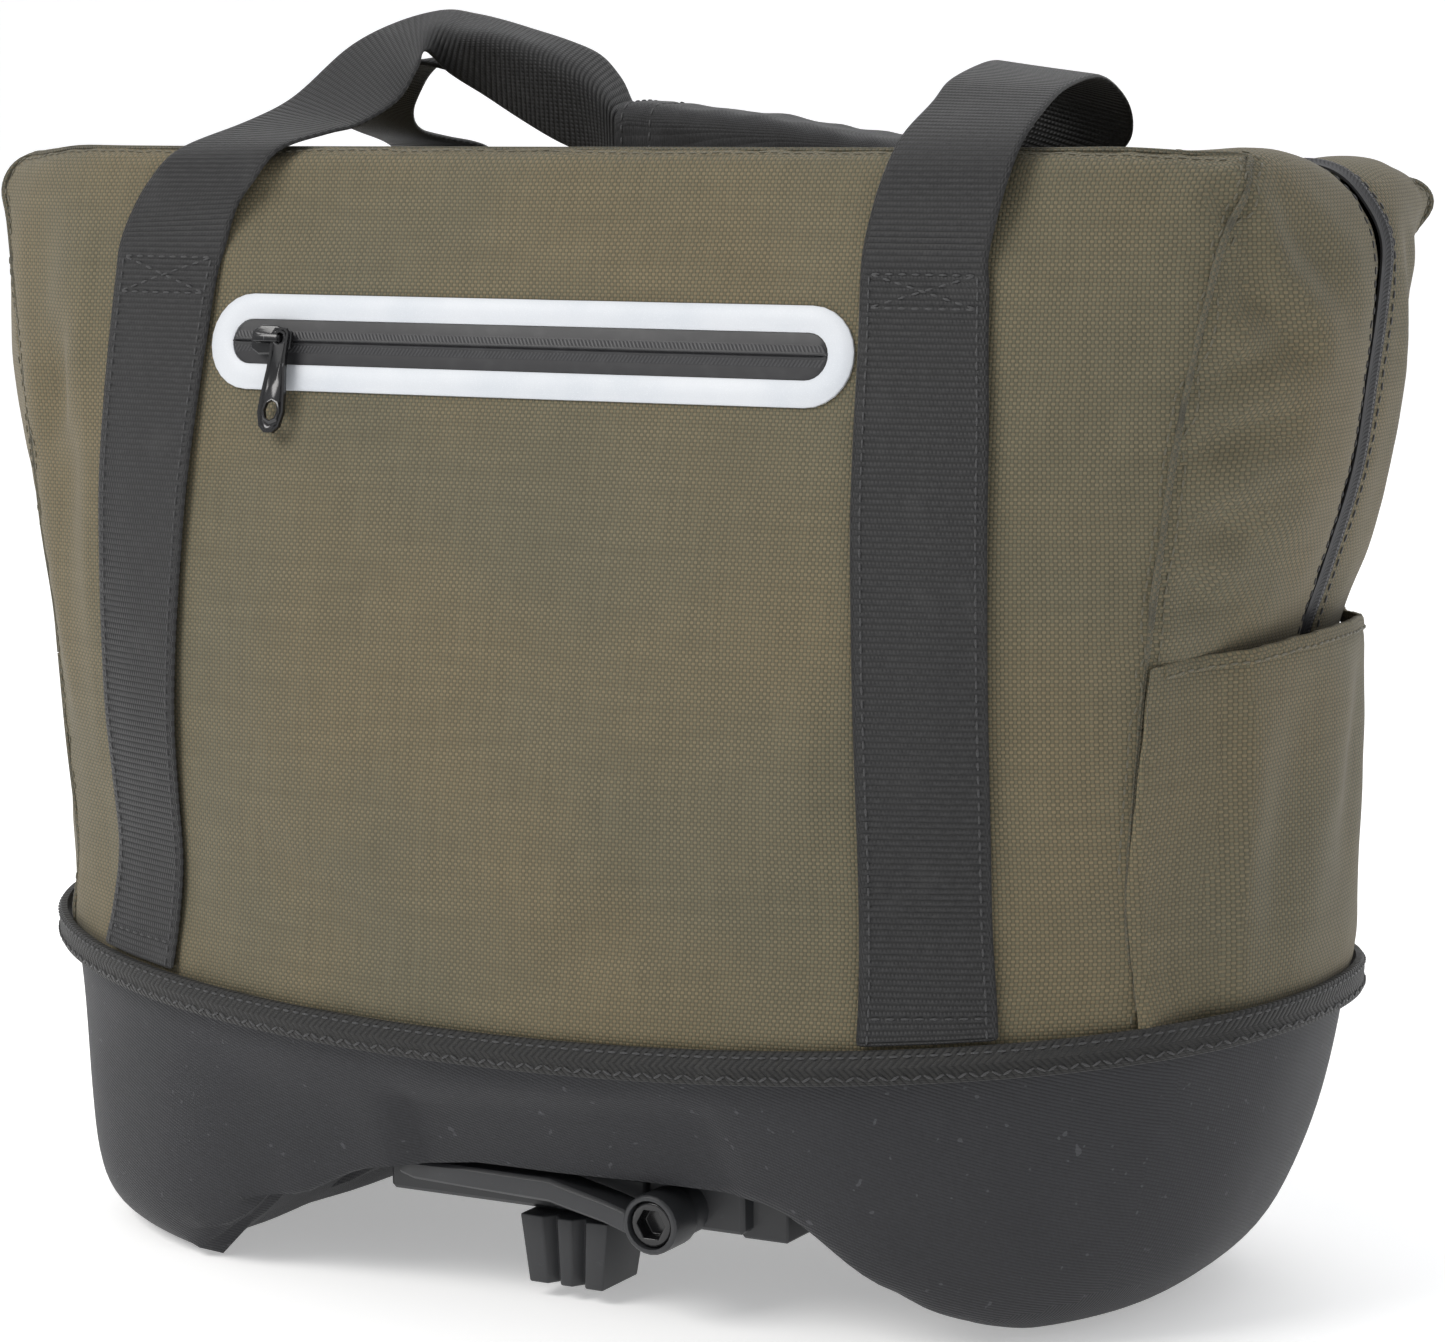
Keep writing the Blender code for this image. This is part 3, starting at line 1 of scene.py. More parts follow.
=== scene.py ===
# The looks of a bicycle trunk bag: woven cloth with folds and seams, webbing handles gathered in a
# padded sleeve, a welded pocket zip, a moulded foam base and the plastic mount under it.
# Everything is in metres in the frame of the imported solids: X along the bag, the front at -Y, Z up.

import itertools
import math

import bmesh
import bpy
import numpy as np
from mathutils import Matrix, Vector, noise
from mathutils.bvhtree import BVHTree
from mathutils.kdtree import KDTree


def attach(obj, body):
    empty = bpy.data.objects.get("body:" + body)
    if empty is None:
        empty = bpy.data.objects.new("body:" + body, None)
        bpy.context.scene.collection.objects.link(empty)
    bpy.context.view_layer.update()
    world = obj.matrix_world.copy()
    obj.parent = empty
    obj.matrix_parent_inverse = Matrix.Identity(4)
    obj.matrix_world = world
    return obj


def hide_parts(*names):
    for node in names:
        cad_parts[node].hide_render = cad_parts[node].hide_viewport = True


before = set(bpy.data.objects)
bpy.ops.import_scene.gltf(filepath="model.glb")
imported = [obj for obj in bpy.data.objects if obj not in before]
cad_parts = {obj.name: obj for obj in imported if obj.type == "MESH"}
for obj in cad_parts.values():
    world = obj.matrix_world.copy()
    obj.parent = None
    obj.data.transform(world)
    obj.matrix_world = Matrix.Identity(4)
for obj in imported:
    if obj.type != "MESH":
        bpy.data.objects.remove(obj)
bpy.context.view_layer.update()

# Sizes in metres
WEBBING_THICKNESS = 0.0015
WEBBING_RIB = 0.00165
WEAVE_CELL = 0.0010
SLEEVE_CELL = 0.0006
TWILL_RIB = 0.0021
TWILL_ZIG = 0.0048
STITCH_LENGTH = 0.0026
STITCH_PITCH = 0.0036
THREAD = 0.00036
TRIM_HALF_LENGTH = 0.2067
TRIM_HALF_DEPTH = 0.1236
TRIM_POWER = 2.3
TRIM_TOP = 0.0870
TRIM_RISE = 0.0111
FRAME_HEIGHT = 0.2734
FRAME_HALF_LENGTH = 0.1036
FRAME_HALF_HEIGHT = 0.0134
WINDOW_HALF_LENGTH = 0.0960
WINDOW_HALF_HEIGHT = 0.0063
BODY_MIDDLE = Vector((0.0, 0.0, 0.200))
FAR_SIDE = 0.25
TRIM_STITCH_SHARES = (0.22, 0.84)
TRIM_BAND = 0.0095
SEAM_DEPTH = 0.0007
SEAM_CORD = 0.0010
SEAM_STITCH_AT = 0.0032
STRAP_WIDTH = 0.038
STRAP_COLUMNS = 13
STRAP_CREASE = 15.0 / 38.0
BOX_STITCH = (0.2860, 0.2970)
STRAP_FOOT_STITCH = 0.0985
SLEEVE_BAND = 10.0
SLEEVE_POWER = 4.6
SLEEVE_THICKNESS = 0.0013
COIL_HALF_LENGTH = 0.0935
PULL_OUT = Vector((-0.0080758, -0.96578358, 0.25922358))
MAIN_PULL_OUT = Vector((-0.9855643, 0.0, -0.16930152))
WHITE = (1.0, 1.0, 1.0)

# The camera of the photograph, and the room's light
CAMERA_PLACE = (0.630, -1.1172, 0.3543)
CAMERA_DEGREES = (28.91, 8.1, -0.56)
CAMERA_LENS = 108.45
LIGHT_AIM = Vector((0.0, 0.0, 0.18))
WORLD_STRENGTH = 0.52
WORLD_COLOUR = (0.97, 0.98, 1.0, 1.0)
FLOOR_GLOW = 0.36
LIGHTS = (
    ("key", (-0.9, -1.5, 1.7), (1.4, 1.0), 33.0, (1.0, 0.985, 0.96)),
    ("fill", (1.9, -0.9, 1.0), (1.2, 1.2), 1.5, (0.96, 0.98, 1.0)),
    ("top", (0.2, 0.6, 2.0), (1.6, 1.2), 10.0, WHITE),
)

# The sleeve's sections along X in millimetres: x, middle y, top z, height, width
GRIP_ROWS = (
    (-12.0, -3.3, 339.4, 25.0, 25.4),
    (-8.0, -3.3, 339.8, 25.8, 26.2),
    (10.0, -3.2, 338.6, 25.4, 26.6),
    (35.0, -3.0, 335.6, 23.6, 28.4),
    (65.0, -2.8, 331.2, 20.0, 30.8),
    (90.0, -2.5, 327.2, 16.2, 32.6),
    (95.0, -2.5, 326.4, 15.2, 32.0),
)

# Soft folds in the cloth: x, y, z of the start and of the end, width and depth, in millimetres.
# A negative depth stands out.
FOLDS = (
    (197, -66, 322, 204, -56, 302, 4.5, 4), (196, -70, 306, 208, -40, 276, 6, 3),
    (188, -74, 262, 209, -44, 276, 5, 2.6), (186, -76, 248, 206, -48, 256, 6, 2.6),
    (184, -78, 226, 203, -50, 246, 6, -1.2), (182, -78, 214, 200, -44, 206, 6, 2.2),
    (190, -60, 232, 204, -30, 216, 6, 1.8), (212, -50, 312, 214, -24, 288, 6, 2.2),
    (180, -80, 186, 172, -92, 120, 8, 1.6), (180, -84, 262, 150, -96, 232, 7, 1.8),
    (184, -84, 296, 158, -90, 300, 8, 1.6), (165, -98, 215, 158, -104, 150, 8, 1.4),
    (174, -92, 100, 168, -96, 160, 4, 1.6), (205, -20, 180, 203, -34, 110, 9, 1.8),
    (206, 24, 184, 205, 8, 130, 8, 1.6), (198, -52, 176, 196, -48, 104, 6, 1.4),
    (212, 34, 284, 206, 46, 226, 7, 2.2), (216, 20, 300, 214, 38, 262, 5, 1.6),
    (-176, -76, 300, -164, -94, 170, 9, 3.4), (-160, -90, 286, -182, -76, 236, 6, 2.6),
    (-160, -104, 160, -176, -86, 120, 7, 3), (-170, -92, 140, -160, -104, 100, 6, 2.2),
    (-184, -72, 200, -176, -84, 150, 6, 2), (-92, -82, 320, -36, -88, 294, 11, 2.8),
    (-60, -78, 326, -10, -86, 300, 9, 2.2), (20, -82, 322, 80, -86, 302, 12, 2.2),
    (-90, -112, 130, -40, -116, 112, 10, 1.2), (20, -118, 104, 60, -116, 128, 9, 1.2),
    (90, -106, 200, 60, -110, 150, 14, 1.2), (172, 84, 280, 160, 96, 180, 9, 2.2),
    (-170, 84, 290, -160, 98, 200, 9, 2.4), (-40, 96, 260, 30, 108, 180, 16, 2),
    (60, 88, 290, 10, 94, 262, 10, 1.6), (-200, -30, 290, -206, -40, 230, 8, 2),
    (-198, 34, 280, -206, 30, 214, 8, 2.2), (-206, 14, 176, -204, -10, 120, 9, 1.8),
    (-120, -40, 318, -60, -20, 309, 9, 1.6), (60, 40, 314, 130, 24, 312, 10, 2),
    (-150, 44, 320, -80, 34, 311, 10, 2), (150, -50, 322, 190, -30, 318, 9, 1.6),
)

# The corner seams' height, and their distances from the middle along X and Y, in millimetres
CORNER_SEAM = (
    (84.0, 178.0, 70.5), (95.0, 178.5, 70.5), (110.0, 175.5, 69.0),
    (130.0, 175.0, 71.0), (160.0, 177.5, 72.0), (190.0, 180.0, 71.5),
    (208.0, 182.5, 72.0),
)
POCKET_FLAT = 0.040
POCKET_HALF = 0.0638
POCKET_EDGE_X = 0.182
HEM_HALF = 0.0665
LEFT_HEM_HALF = 0.0600
LEFT_POCKET_REACH = 0.35
ZIP_STITCH_AT = 0.0032
# How far the tray's front edge hangs below its tunnel: place along X and depth, in millimetres
TRAY_LIP = (
    (-114.0, 0.0), (-98.0, 4.0), (-86.0, 7.0), (-74.0, 12.0),
    (-64.0, 11.0), (-50.0, 6.0), (-35.0, 3.0), (-15.0, 0.0),
)
# The recess over the mount: left, right and top edge, and its depth, in millimetres
TRAY_RECESS = (-36.0, 68.0, 64.0)
RECESS_DEPTH = 4.5


# Shader maths


class Value:
    """A socket whose sums, differences, products and quotients add Math nodes."""

    def __init__(self, finish, socket):
        self.finish = finish
        self.socket = socket

    def maths(self, operation, *others, first=None):
        inputs = [self if first is None else first, *others]
        return self.finish.node("ShaderNodeMath", {"operation": operation}, dict(enumerate(inputs)))

    def __add__(self, other):
        return self.maths("ADD", other)

    __radd__ = __add__

    def __sub__(self, other):
        return self.maths("SUBTRACT", other)

    def __rsub__(self, other):
        return self.maths("SUBTRACT", self, first=other)

    def __mul__(self, other):
        return self.maths("MULTIPLY", other)

    __rmul__ = __mul__

    def __truediv__(self, other):
        return self.maths("DIVIDE", other)

    def __pow__(self, other):
        return self.maths("POWER", other)

    def wave(self):
        """A half sine from 0 to 1 and back over each unit."""
        return (self.maths("FRACT") * math.pi).maths("SINE")

    def step(self, low, high):
        """0 below low, 1 above high and a smooth rise between them."""
        return self.finish.node(
            "ShaderNodeMapRange",
            {"interpolation_type": "SMOOTHSTEP"},
            {"Value": self, "From Min": low, "From Max": high},
        )


class Finish:
    """A material with a Principled shader, built node by node."""

    def __init__(self, name):
        self.material = bpy.data.materials.new(name)
        self.material.use_nodes = True
        self.tree = self.material.node_tree
        self.shader = self.tree.nodes["Principled BSDF"]
        uv = self.tree.nodes.new("ShaderNodeUVMap")
        uv.uv_map = "UVMap"
        self.uv = Value(self, uv.outputs[0])
        place = self.tree.nodes.new("ShaderNodeTexCoord")
        self.place = Value(self, place.outputs["Object"])

    def node(self, kind, settings=None, inputs=None, output=0):
        made = self.tree.nodes.new(kind)
        for key, value in (settings or {}).items():
            if key == "stops":
                ramp = made.color_ramp
                while len(ramp.elements) < len(value):
                    ramp.elements.new(0.5)
                for element, (position, colour) in zip(ramp.elements, value):
                    element.position = position
                    element.color = (*colour, 1.0)
            else:
                setattr(made, key, value)
        for key, value in (inputs or {}).items():
            self.put(made.inputs[key], value)
        return Value(self, made.outputs[output])

    def put(self, socket, value):
        if isinstance(value, Value):
            self.tree.links.new(value.socket, socket)
        elif isinstance(value, tuple) and len(value) == 3 and socket.type == "RGBA":
            socket.default_value = (*value, 1.0)
        else:
            socket.default_value = value

    def parts(self, vector):
        made = self.tree.nodes.new("ShaderNodeSeparateXYZ")
        self.tree.links.new(vector.socket, made.inputs[0])
        return [Value(self, out) for out in made.outputs]

    def noise(self, scale, detail=3.0, rough=0.5, where=None):
        return self.node(
            "ShaderNodeTexNoise",
            {},
            {"Vector": where or self.place, "Scale": scale, "Detail": detail, "Roughness": rough},
        )

    def stretched(self, vector, scale):
        return self.node("ShaderNodeMapping", {}, {"Vector": vector, "Scale": scale})

    def blend(self, share, first, second, kind="MIX"):
        return self.node(
            "ShaderNodeMix",
            {"data_type": "RGBA", "blend_type": kind, "clamp_factor": True},
            {0: share, 6: first, 7: second},
            output=2,
        )

    def shaded(self, colour, height, low, high, dark):
        """The colour with painted shade, darker where the weave is low."""
        shade = self.blend(height.step(low, high), dark, WHITE)
        return self.blend(1.0, colour, shade, "MULTIPLY")

    def finished(self, colour, rough, height=None, depth=0.0003, **constants):
        self.put(self.shader.inputs["Base Color"], colour)
        self.put(self.shader.inputs["Roughness"], rough)
        for name, value in constants.items():
            self.put(self.shader.inputs[name.replace("_", " ")], value)
        if height is not None:
            bump = self.node(
                "ShaderNodeBump", {}, {"Strength": 1.0, "Distance": depth, "Height": height}
            )
            self.put(self.shader.inputs["Normal"], bump)
        return self.material


def grey(value):
    return (value, value, value)


def sheen(weight, rough):
    return {"Sheen_Weight": weight, "Sheen_Roughness": rough}


def yarns(u, v, cell):
    """A plain weave: which yarn is on top, and how high it stands."""
    along, up = u / cell, v / cell
    warp = along.wave()
    weft = up.wave()
    parity = (along.maths("FLOOR") + up.maths("FLOOR")).maths("PINGPONG", 1.0)
    over = parity.maths("ROUND")
    height = over * warp * (weft * 0.5 + 0.5) + (1.0 - over) * weft * (warp * 0.5 + 0.5)
    return over, height


def olive_cloth():
    f = Finish("olive_cloth")
    u, v, _ = f.parts(f.uv)
    over, height = yarns(u, v, WEAVE_CELL)
    patches = f.noise(11.0, 3.0)
    streaks = f.noise(260.0, 2.0, where=f.stretched(f.uv, (0.14, 1.0, 1.0)))
    slubs = f.noise(420.0, 1.0, where=f.stretched(f.uv, (1.0, 0.10, 1.0)))
    brown = f.blend(streaks, (0.135, 0.107, 0.060), (0.205, 0.165, 0.098))
    green = f.blend(slubs, (0.088, 0.080, 0.047), (0.140, 0.127, 0.078))
    # painted shade in the weave's low places
    weave = f.shaded(f.blend(over, brown, green), height, 0.05, 0.75, (0.52, 0.52, 0.50))
    tone = f.blend(patches.step(0.35, 0.7), (0.90, 0.93, 0.93), (1.06, 1.03, 0.97))
    colour = f.blend(1.0, weave, tone, "MULTIPLY")
    rough = 0.72 + patches * 0.14
    return f.finished(colour, rough, height + streaks * 0.3, 0.00016, **sheen(0.08, 0.5))


def plain_cloth_edge():
    """The same cloth turned over in a narrow hem, a little darker from wear."""
    f = Finish("olive_hem")
    u, v, _ = f.parts(f.uv)
    over, height = yarns(u, v, WEAVE_CELL)
    worn = f.noise(120.0, 3.0)
    weave = f.blend(over, (0.120, 0.100, 0.062), (0.080, 0.078, 0.053))
    colour = f.blend(worn.step(0.45, 0.75), weave, (0.060, 0.056, 0.040))
    return f.finished(colour, 0.82 + worn * 0.08, height, 0.00028, Sheen_Weight=0.1)


def webbing_cloth():
    f = Finish("black_webbing")
    u, v, _ = f.parts(f.uv)
    rib = (u / WEBBING_RIB).wave()
    offset = (u / WEBBING_RIB).maths("FLOOR") * 0.5
    strand = (v / 0.0011 + offset).wave()
    edge = v.maths("PINGPONG", 0.019).step(0.0, 0.0022)
    height = rib * (0.65 + strand * 0.35) * edge + (1.0 - edge) * strand * 0.6
    dust = f.noise(60.0, 3.0)
    fuzz = f.noise(900.0, 2.0, where=f.stretched(f.uv, (1.0, 0.4, 1.0)))
    yarn = f.blend(fuzz.step(0.3, 0.75), (0.006, 0.006, 0.007), (0.021, 0.021, 0.022))
    # painted shade in the weave's low places
    yarn = f.shaded(yarn, height, 0.1, 0.85, grey(0.30))
    colour = f.blend(dust.step(0.55, 0.8) * 0.35, yarn, grey(0.040))
    return f.finished(colour, 0.50 + fuzz * 0.2, height, 0.00042, **sheen(0.08, 0.4))


def trim_twill():
    f = Finish("trim_twill")
    u, v, _ = f.parts(f.uv)
    ridge = ((u + v.maths("PINGPONG", TWILL_ZIG)) / TWILL_RIB).wave()
    strand = (v / 0.0007).wave()
    height = ridge * (0.7 + strand * 0.3)
    fuzz = f.noise(700.0, 2.0, where=f.uv)
    dust = f.noise(45.0, 3.0)
    yarn = f.blend(fuzz.step(0.3, 0.8), grey(0.006), (0.019, 0.018, 0.016))
    # painted shade between the twill's ridges
    yarn = f.shaded(yarn, height, 0.1, 0.8, grey(0.28))
    colour = f.blend(dust.step(0.55, 0.8) * 0.3, yarn, (0.036, 0.035, 0.033))
    return f.finished(colour, 0.56 + fuzz * 0.2, height, 0.00040, Sheen_Weight=0.06)


def foam_skin():
    f = Finish("foam_skin")
    u, v, _ = f.parts(f.uv)
    line = ((u * 0.35 + v) / 0.00105).wave()
    cross = (u / 0.0009).wave()
    height = line * 0.75 + cross * 0.25
    worn = f.noise(26.0, 4.0, 0.6)
    grain = f.noise(900.0, 2.0)
    lint = f.noise(330.0, 1.0).step(0.735, 0.77)
    base = f.blend(grain, (0.007, 0.007, 0.009), (0.019, 0.020, 0.025))
    # painted shade in the weave's low places
    base = f.shaded(base, height, 0.1, 0.9, grey(0.55))
    base = f.blend(worn.step(0.55, 0.8) * 0.25, base, (0.050, 0.050, 0.056))
    colour = f.blend(lint * 0.35, base, (0.10, 0.10, 0.11))
    return f.finished(colour, 0.60 + worn * 0.16, height, 0.00016, **sheen(0.07, 0.35))


def reflective_film():
    f = Finish("reflective_film")
    beads_and_glints = f.noise(5200.0, 1.0)
    smudge = f.noise(32.0, 3.0)
    colour = f.blend(smudge.step(0.35, 0.75), (0.60, 0.62, 0.65), (0.53, 0.56, 0.60))
    # the lighter bead specks are painted glints; the same noise also gives the beads' bump
    colour = f.blend(beads_and_glints.step(0.5, 0.8) * 0.5, colour, (0.74, 0.76, 0.79))
    return f.finished(colour, 0.36 + smudge * 0.2, beads_and_glints, 0.00003, Sheen_Weight=0.1)


def coated_zip():
    f = Finish("coated_zip")
    u, v, _ = f.parts(f.uv)
    slant = ((u + v.maths("ABSOLUTE") * 0.6) / 0.0012).maths("FRACT")
    bars = (slant * math.pi).maths("SINE")
    inner = v.maths("ABSOLUTE").step(0.0007, 0.0011)
    band = inner * (1.0 - v.maths("ABSOLUTE").step(0.0026, 0.0031))
    wear = f.noise(240.0, 3.0)
    smear = f.noise(18.0, 2.0, where=f.stretched(f.uv, (1.0, 6.0, 1.0)))
    base = f.blend(wear.step(0.4, 0.8), (0.015, 0.015, 0.017), (0.024, 0.024, 0.026))
    colour = f.blend(band * bars.step(0.5, 0.9) * 0.6, base, (0.046, 0.046, 0.049))
    return f.finished(colour, 0.38 + smear * 0.22, bars * band + wear * 0.15, 0.00012)


def black_coil():
    f = Finish("zip_coil")
    fine = f.noise(1400.0, 2.0)
    # the lighter specks are painted highlights on the coil; the same noise gives its roughness and
    # bump
    colour = f.blend(fine.step(0.45, 0.7), (0.020, 0.020, 0.022), (0.140, 0.140, 0.145))
    return f.finished(colour, 0.30 + fine * 0.2, fine, 0.00004)


def lacquered_metal():
    f = Finish("lacquered_metal")
    cloud = f.noise(55.0, 3.0)
    scratch = f.noise(900.0, 3.0, where=f.stretched(f.place, (1.0, 0.12, 0.3)))
    rub = scratch.step(0.66, 0.74)
    colour = f.blend(rub * 0.35, (0.010, 0.010, 0.011), (0.16, 0.16, 0.17))
    rough = 0.16 + cloud * 0.14 + rub * 0.12
    lacquer = {"Metallic": 0.35, "Coat_Weight": 0.5, "Coat_Roughness": 0.12}
    return f.finished(colour, rough, scratch, 0.00001, **lacquer)


def satin_plastic():
    f = Finish("satin_plastic")
    grain = f.noise(2600.0, 2.0)
    cloud = f.noise(30.0, 3.0)
    scuff = f.noise(420.0, 4.0, 0.65, where=f.stretched(f.place, (0.35, 1.0, 1.0))).step(0.63, 0.72)
    base = f.blend(cloud, (0.020, 0.021, 0.023), (0.031, 0.032, 0.035))
    colour = f.blend(scuff * 0.3, base, (0.075, 0.078, 0.085))
    return f.finished(colour, 0.34 + cloud * 0.12 + scuff * 0.12, grain, 0.00004)


def sleeve_cloth():
    f = Finish("sleeve_cloth")
    u, v, _ = f.parts(f.uv)
    _, height = yarns(u, v, SLEEVE_CELL)
    soft = f.noise(70.0, 3.0)
    fuzz = f.noise(1500.0, 2.0)
    colour = f.blend(fuzz.step(0.3, 0.8), (0.005, 0.005, 0.006), (0.016, 0.016, 0.018))
    colour = f.blend(soft.step(0.55, 0.8) * 0.3, colour, (0.026, 0.026, 0.030))
    return f.finished(colour, 0.62 + soft * 0.14, height, 0.00012, **sheen(0.10, 0.4))


def thread(name, dark, light):
    f = Finish(name)
    twist = f.noise(2600.0, 1.0)
    colour = f.blend(twist, dark, light)
    return f.finished(colour, 0.55 + twist * 0.15, twist, 0.00005, Sheen_Weight=0.2)


def pale_floor():
    f = Finish("pale_floor")
    drift = f.noise(2.0, 2.0)
    colour = f.blend(drift, grey(0.90), grey(0.94))
    return f.finished(
        colour, 0.85 + drift * 0.05, Emission_Color=(*WHITE, 1.0), Emission_Strength=FLOOR_GLOW
    )


# Each finish with its slot
FINISHES = {
    "olive": (olive_cloth(), "olive_cloth"),
    "hem": (plain_cloth_edge(), "olive_cloth"),
    "webbing": (webbing_cloth(), "black_webbing"),
    "trim": (trim_twill(), "trim_tape"),
    "foam": (foam_skin(), "foam_skin"),
    "film": (reflective_film(), "reflective"),
    "zip": (coated_zip(), "zip_tape"),
    "coil": (black_coil(), "zip_tape"),
    "metal": (lacquered_metal(), "black_metal"),
    "plastic": (satin_plastic(), "black_plastic"),
    "sleeve": (sleeve_cloth(), "grip_cloth"),
    "black_thread": (
        thread("black_thread", (0.010, 0.010, 0.011), (0.060, 0.060, 0.062)),
        "black_webbing",
    ),
    "olive_thread": (
        thread("olive_thread", (0.055, 0.050, 0.032), (0.150, 0.135, 0.090)),
        "olive_cloth",
    ),
    "floor": (pale_floor(), None),
}


# Mesh helpers


def mesh_from(name, bm):
    mesh = bpy.data.meshes.new(name)
    bm.to_mesh(mesh)
    bm.free()
    return mesh


def linked(name, data):
    obj = bpy.data.objects.new(name, data)
    bpy.context.scene.collection.objects.link(obj)
    return obj


def piece(name, bm, finish, body="bag", stands_for=(), angle=40.0):
    """A finished piece in the bag's frame that rides on a body."""
    obj = linked(name, mesh_from(name, bm))
    obj.data.shade_smooth()
    obj.data.set_sharp_from_angle(angle=math.radians(angle))
    material, slot = FINISHES[finish]
    obj.data.materials.append(material)
    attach(obj, body)
    if stands_for:
        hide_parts(*stands_for)
    return obj


def merged(node):
    """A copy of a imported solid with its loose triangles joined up."""
    bm = bmesh.new()
    bm.from_mesh(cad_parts[node].data)
    bmesh.ops.remove_doubles(bm, verts=bm.verts, dist=2e-5)
    return bm


def cad_copy(node):
    """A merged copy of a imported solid, with its triangles joined in pairs."""
    bm = merged(node)
    limits = {"angle_face_threshold": math.radians(60), "angle_shape_threshold": math.radians(60)}
    bmesh.ops.join_triangles(bm, faces=bm.faces, **limits)
    return bm


def turned_out(bm):
    bmesh.ops.recalc_face_normals(bm, faces=bm.faces)


def closed(bm, sides):
    """Fills a tube's ends and turns its faces outwards."""
    bmesh.ops.holes_fill(bm, edges=[e for e in bm.edges if e.is_boundary], sides=sides)
    turned_out(bm)


def rounded(bm, levels, crease_angle=55.0):
    """The mesh after Catmull-Clark subdivision that keeps its sharp edges."""
    crease = bm.edges.layers.float.new("crease_edge")
    for edge in bm.edges:
        if edge.is_boundary or edge.calc_face_angle(0.0) > math.radians(crease_angle):
            edge[crease] = 1.0
    obj = linked("work", mesh_from("work", bm))
    subdivision(obj, levels).boundary_smooth = "PRESERVE_CORNERS"
    return applied(obj)


def subdivision(obj, levels):
    modifier = obj.modifiers.new("round", "SUBSURF")
    modifier.levels = levels
    modifier.render_levels = levels
    return modifier


def applied(obj):
    """The object's mesh with its modifiers applied; the object is removed."""
    graph = bpy.context.evaluated_depsgraph_get()
    mesh = bpy.data.meshes.new_from_object(obj.evaluated_get(graph))
    bpy.data.objects.remove(obj, do_unlink=True)
    out = bmesh.new()
    out.from_mesh(mesh)
    return out


def tree_of(obj):
    graph = bpy.context.evaluated_depsgraph_get()
    return BVHTree.FromObject(obj, graph)


def sheet_of(points, across, along, wrap=False):
    """A grid of faces at an array of points, with the distances across and along as its UV map."""
    rows, columns = len(points), len(points[0])
    bm = bmesh.new()
    bmesh.ops.create_grid(bm, x_segments=columns - 1, y_segments=rows - 1, size=1.0)
    layer = bm.loops.layers.uv.new("UVMap")
    places = {}
    for vertex in bm.verts:
        i = round((vertex.co.y + 1.0) / 2.0 * (rows - 1))
        j = round((vertex.co.x + 1.0) / 2.0 * (columns - 1))
        places[vertex] = (i, j)
    for vertex, (i, j) in places.items():
        vertex.co = points[i][j]
    for face in bm.faces:
        for loop in face.loops:
            i, j = places[loop.vert]
            loop[layer].uv = (along[i][j], across[i][j])
    if wrap:
        bmesh.ops.remove_doubles(bm, verts=bm.verts, dist=1e-6)
    return bm


def face_out(bm, inside):
    """Turns an open sheet so that its faces look away from a point inside."""
    total = sum((f.calc_center_median() - inside).dot(f.normal) * f.calc_area() for f in bm.faces)
    if total < 0.0:
        bmesh.ops.reverse_faces(bm, faces=bm.faces)
    return bm


def lengths_of(points):
    """Running length along a list of points."""
    steps = np.linalg.norm(np.diff(np.array(points), axis=0), axis=1)
    return np.concatenate([[0.0], np.cumsum(steps)])


def smooth_curve(points, steps):
    """A curve through the points, with a few steps to each stretch; works on any array shape."""
    points = np.array(points, float)
    ends = [2 * points[:1] - points[1:2], points, 2 * points[-1:] - points[-2:-1]]
    padded = np.concatenate(ends)
    out = []
    for i in range(len(points) - 1):
        a, b, c, d = padded[i : i + 4]
        for step in range(steps):
            t = step / steps
            square = (2 * a - 5 * b + 4 * c - d) * t * t
            cube = (3 * b - 3 * c + d - a) * t**3
            out.append(0.5 * (2 * b + (c - a) * t + square + cube))
    out.append(points[-1])
    return np.array(out)


def units(rows):
    return rows / np.linalg.norm(rows, axis=1, keepdims=True)


def rounded_square(angle, power):
    """The two places on a rounded square of half width 1 at an angle."""
    c, s = math.cos(angle), math.sin(angle)
    return math.copysign(abs(c) ** (2.0 / power), c), math.copysign(abs(s) ** (2.0 / power), s)


def evenly(points, pitch):
    """Points spaced evenly along a line."""
    points = np.array(points, float)
    run = lengths_of(points)
    count = max(int(run[-1] / pitch), 1)
    at = (np.arange(count) + 0.5) * run[-1] / count
    return np.stack([np.interp(at, run, points[:, k]) for k in range(3)], axis=1)


def stitch_at(middle, along, up, length, width):
    """Where one thread stitch lies: a short rounded bar that dips into the cloth at both ends."""
    side = up.cross(along).normalized()
    turn = Matrix((along, side, up)).transposed().to_4x4()
    size = Matrix.Diagonal((length / 2, width, width * 0.8, 1.0))
    return Matrix.Translation(middle) @ turn @ size


def stitch_row(
    places, points, surface, pitch=STITCH_PITCH, length=STITCH_LENGTH, lift=0.0002, slant=0.0
):
    """Stitches along a line of points, laid on a surface; slant turns every other one."""
    spots = evenly(points, pitch)
    for i, spot in enumerate(spots):
        ahead = Vector(spots[min(i + 1, len(spots) - 1)]) - Vector(spots[max(i - 1, 0)])
        place, normal, _, _ = surface.find_nearest(Vector(spot))
        along = (ahead - normal * ahead.dot(normal)).normalized()
        if slant:
            along = Matrix.Rotation(slant if i % 2 else -slant, 3, normal) @ along
        places.append(stitch_at(place + normal * lift, along, normal, length, THREAD))


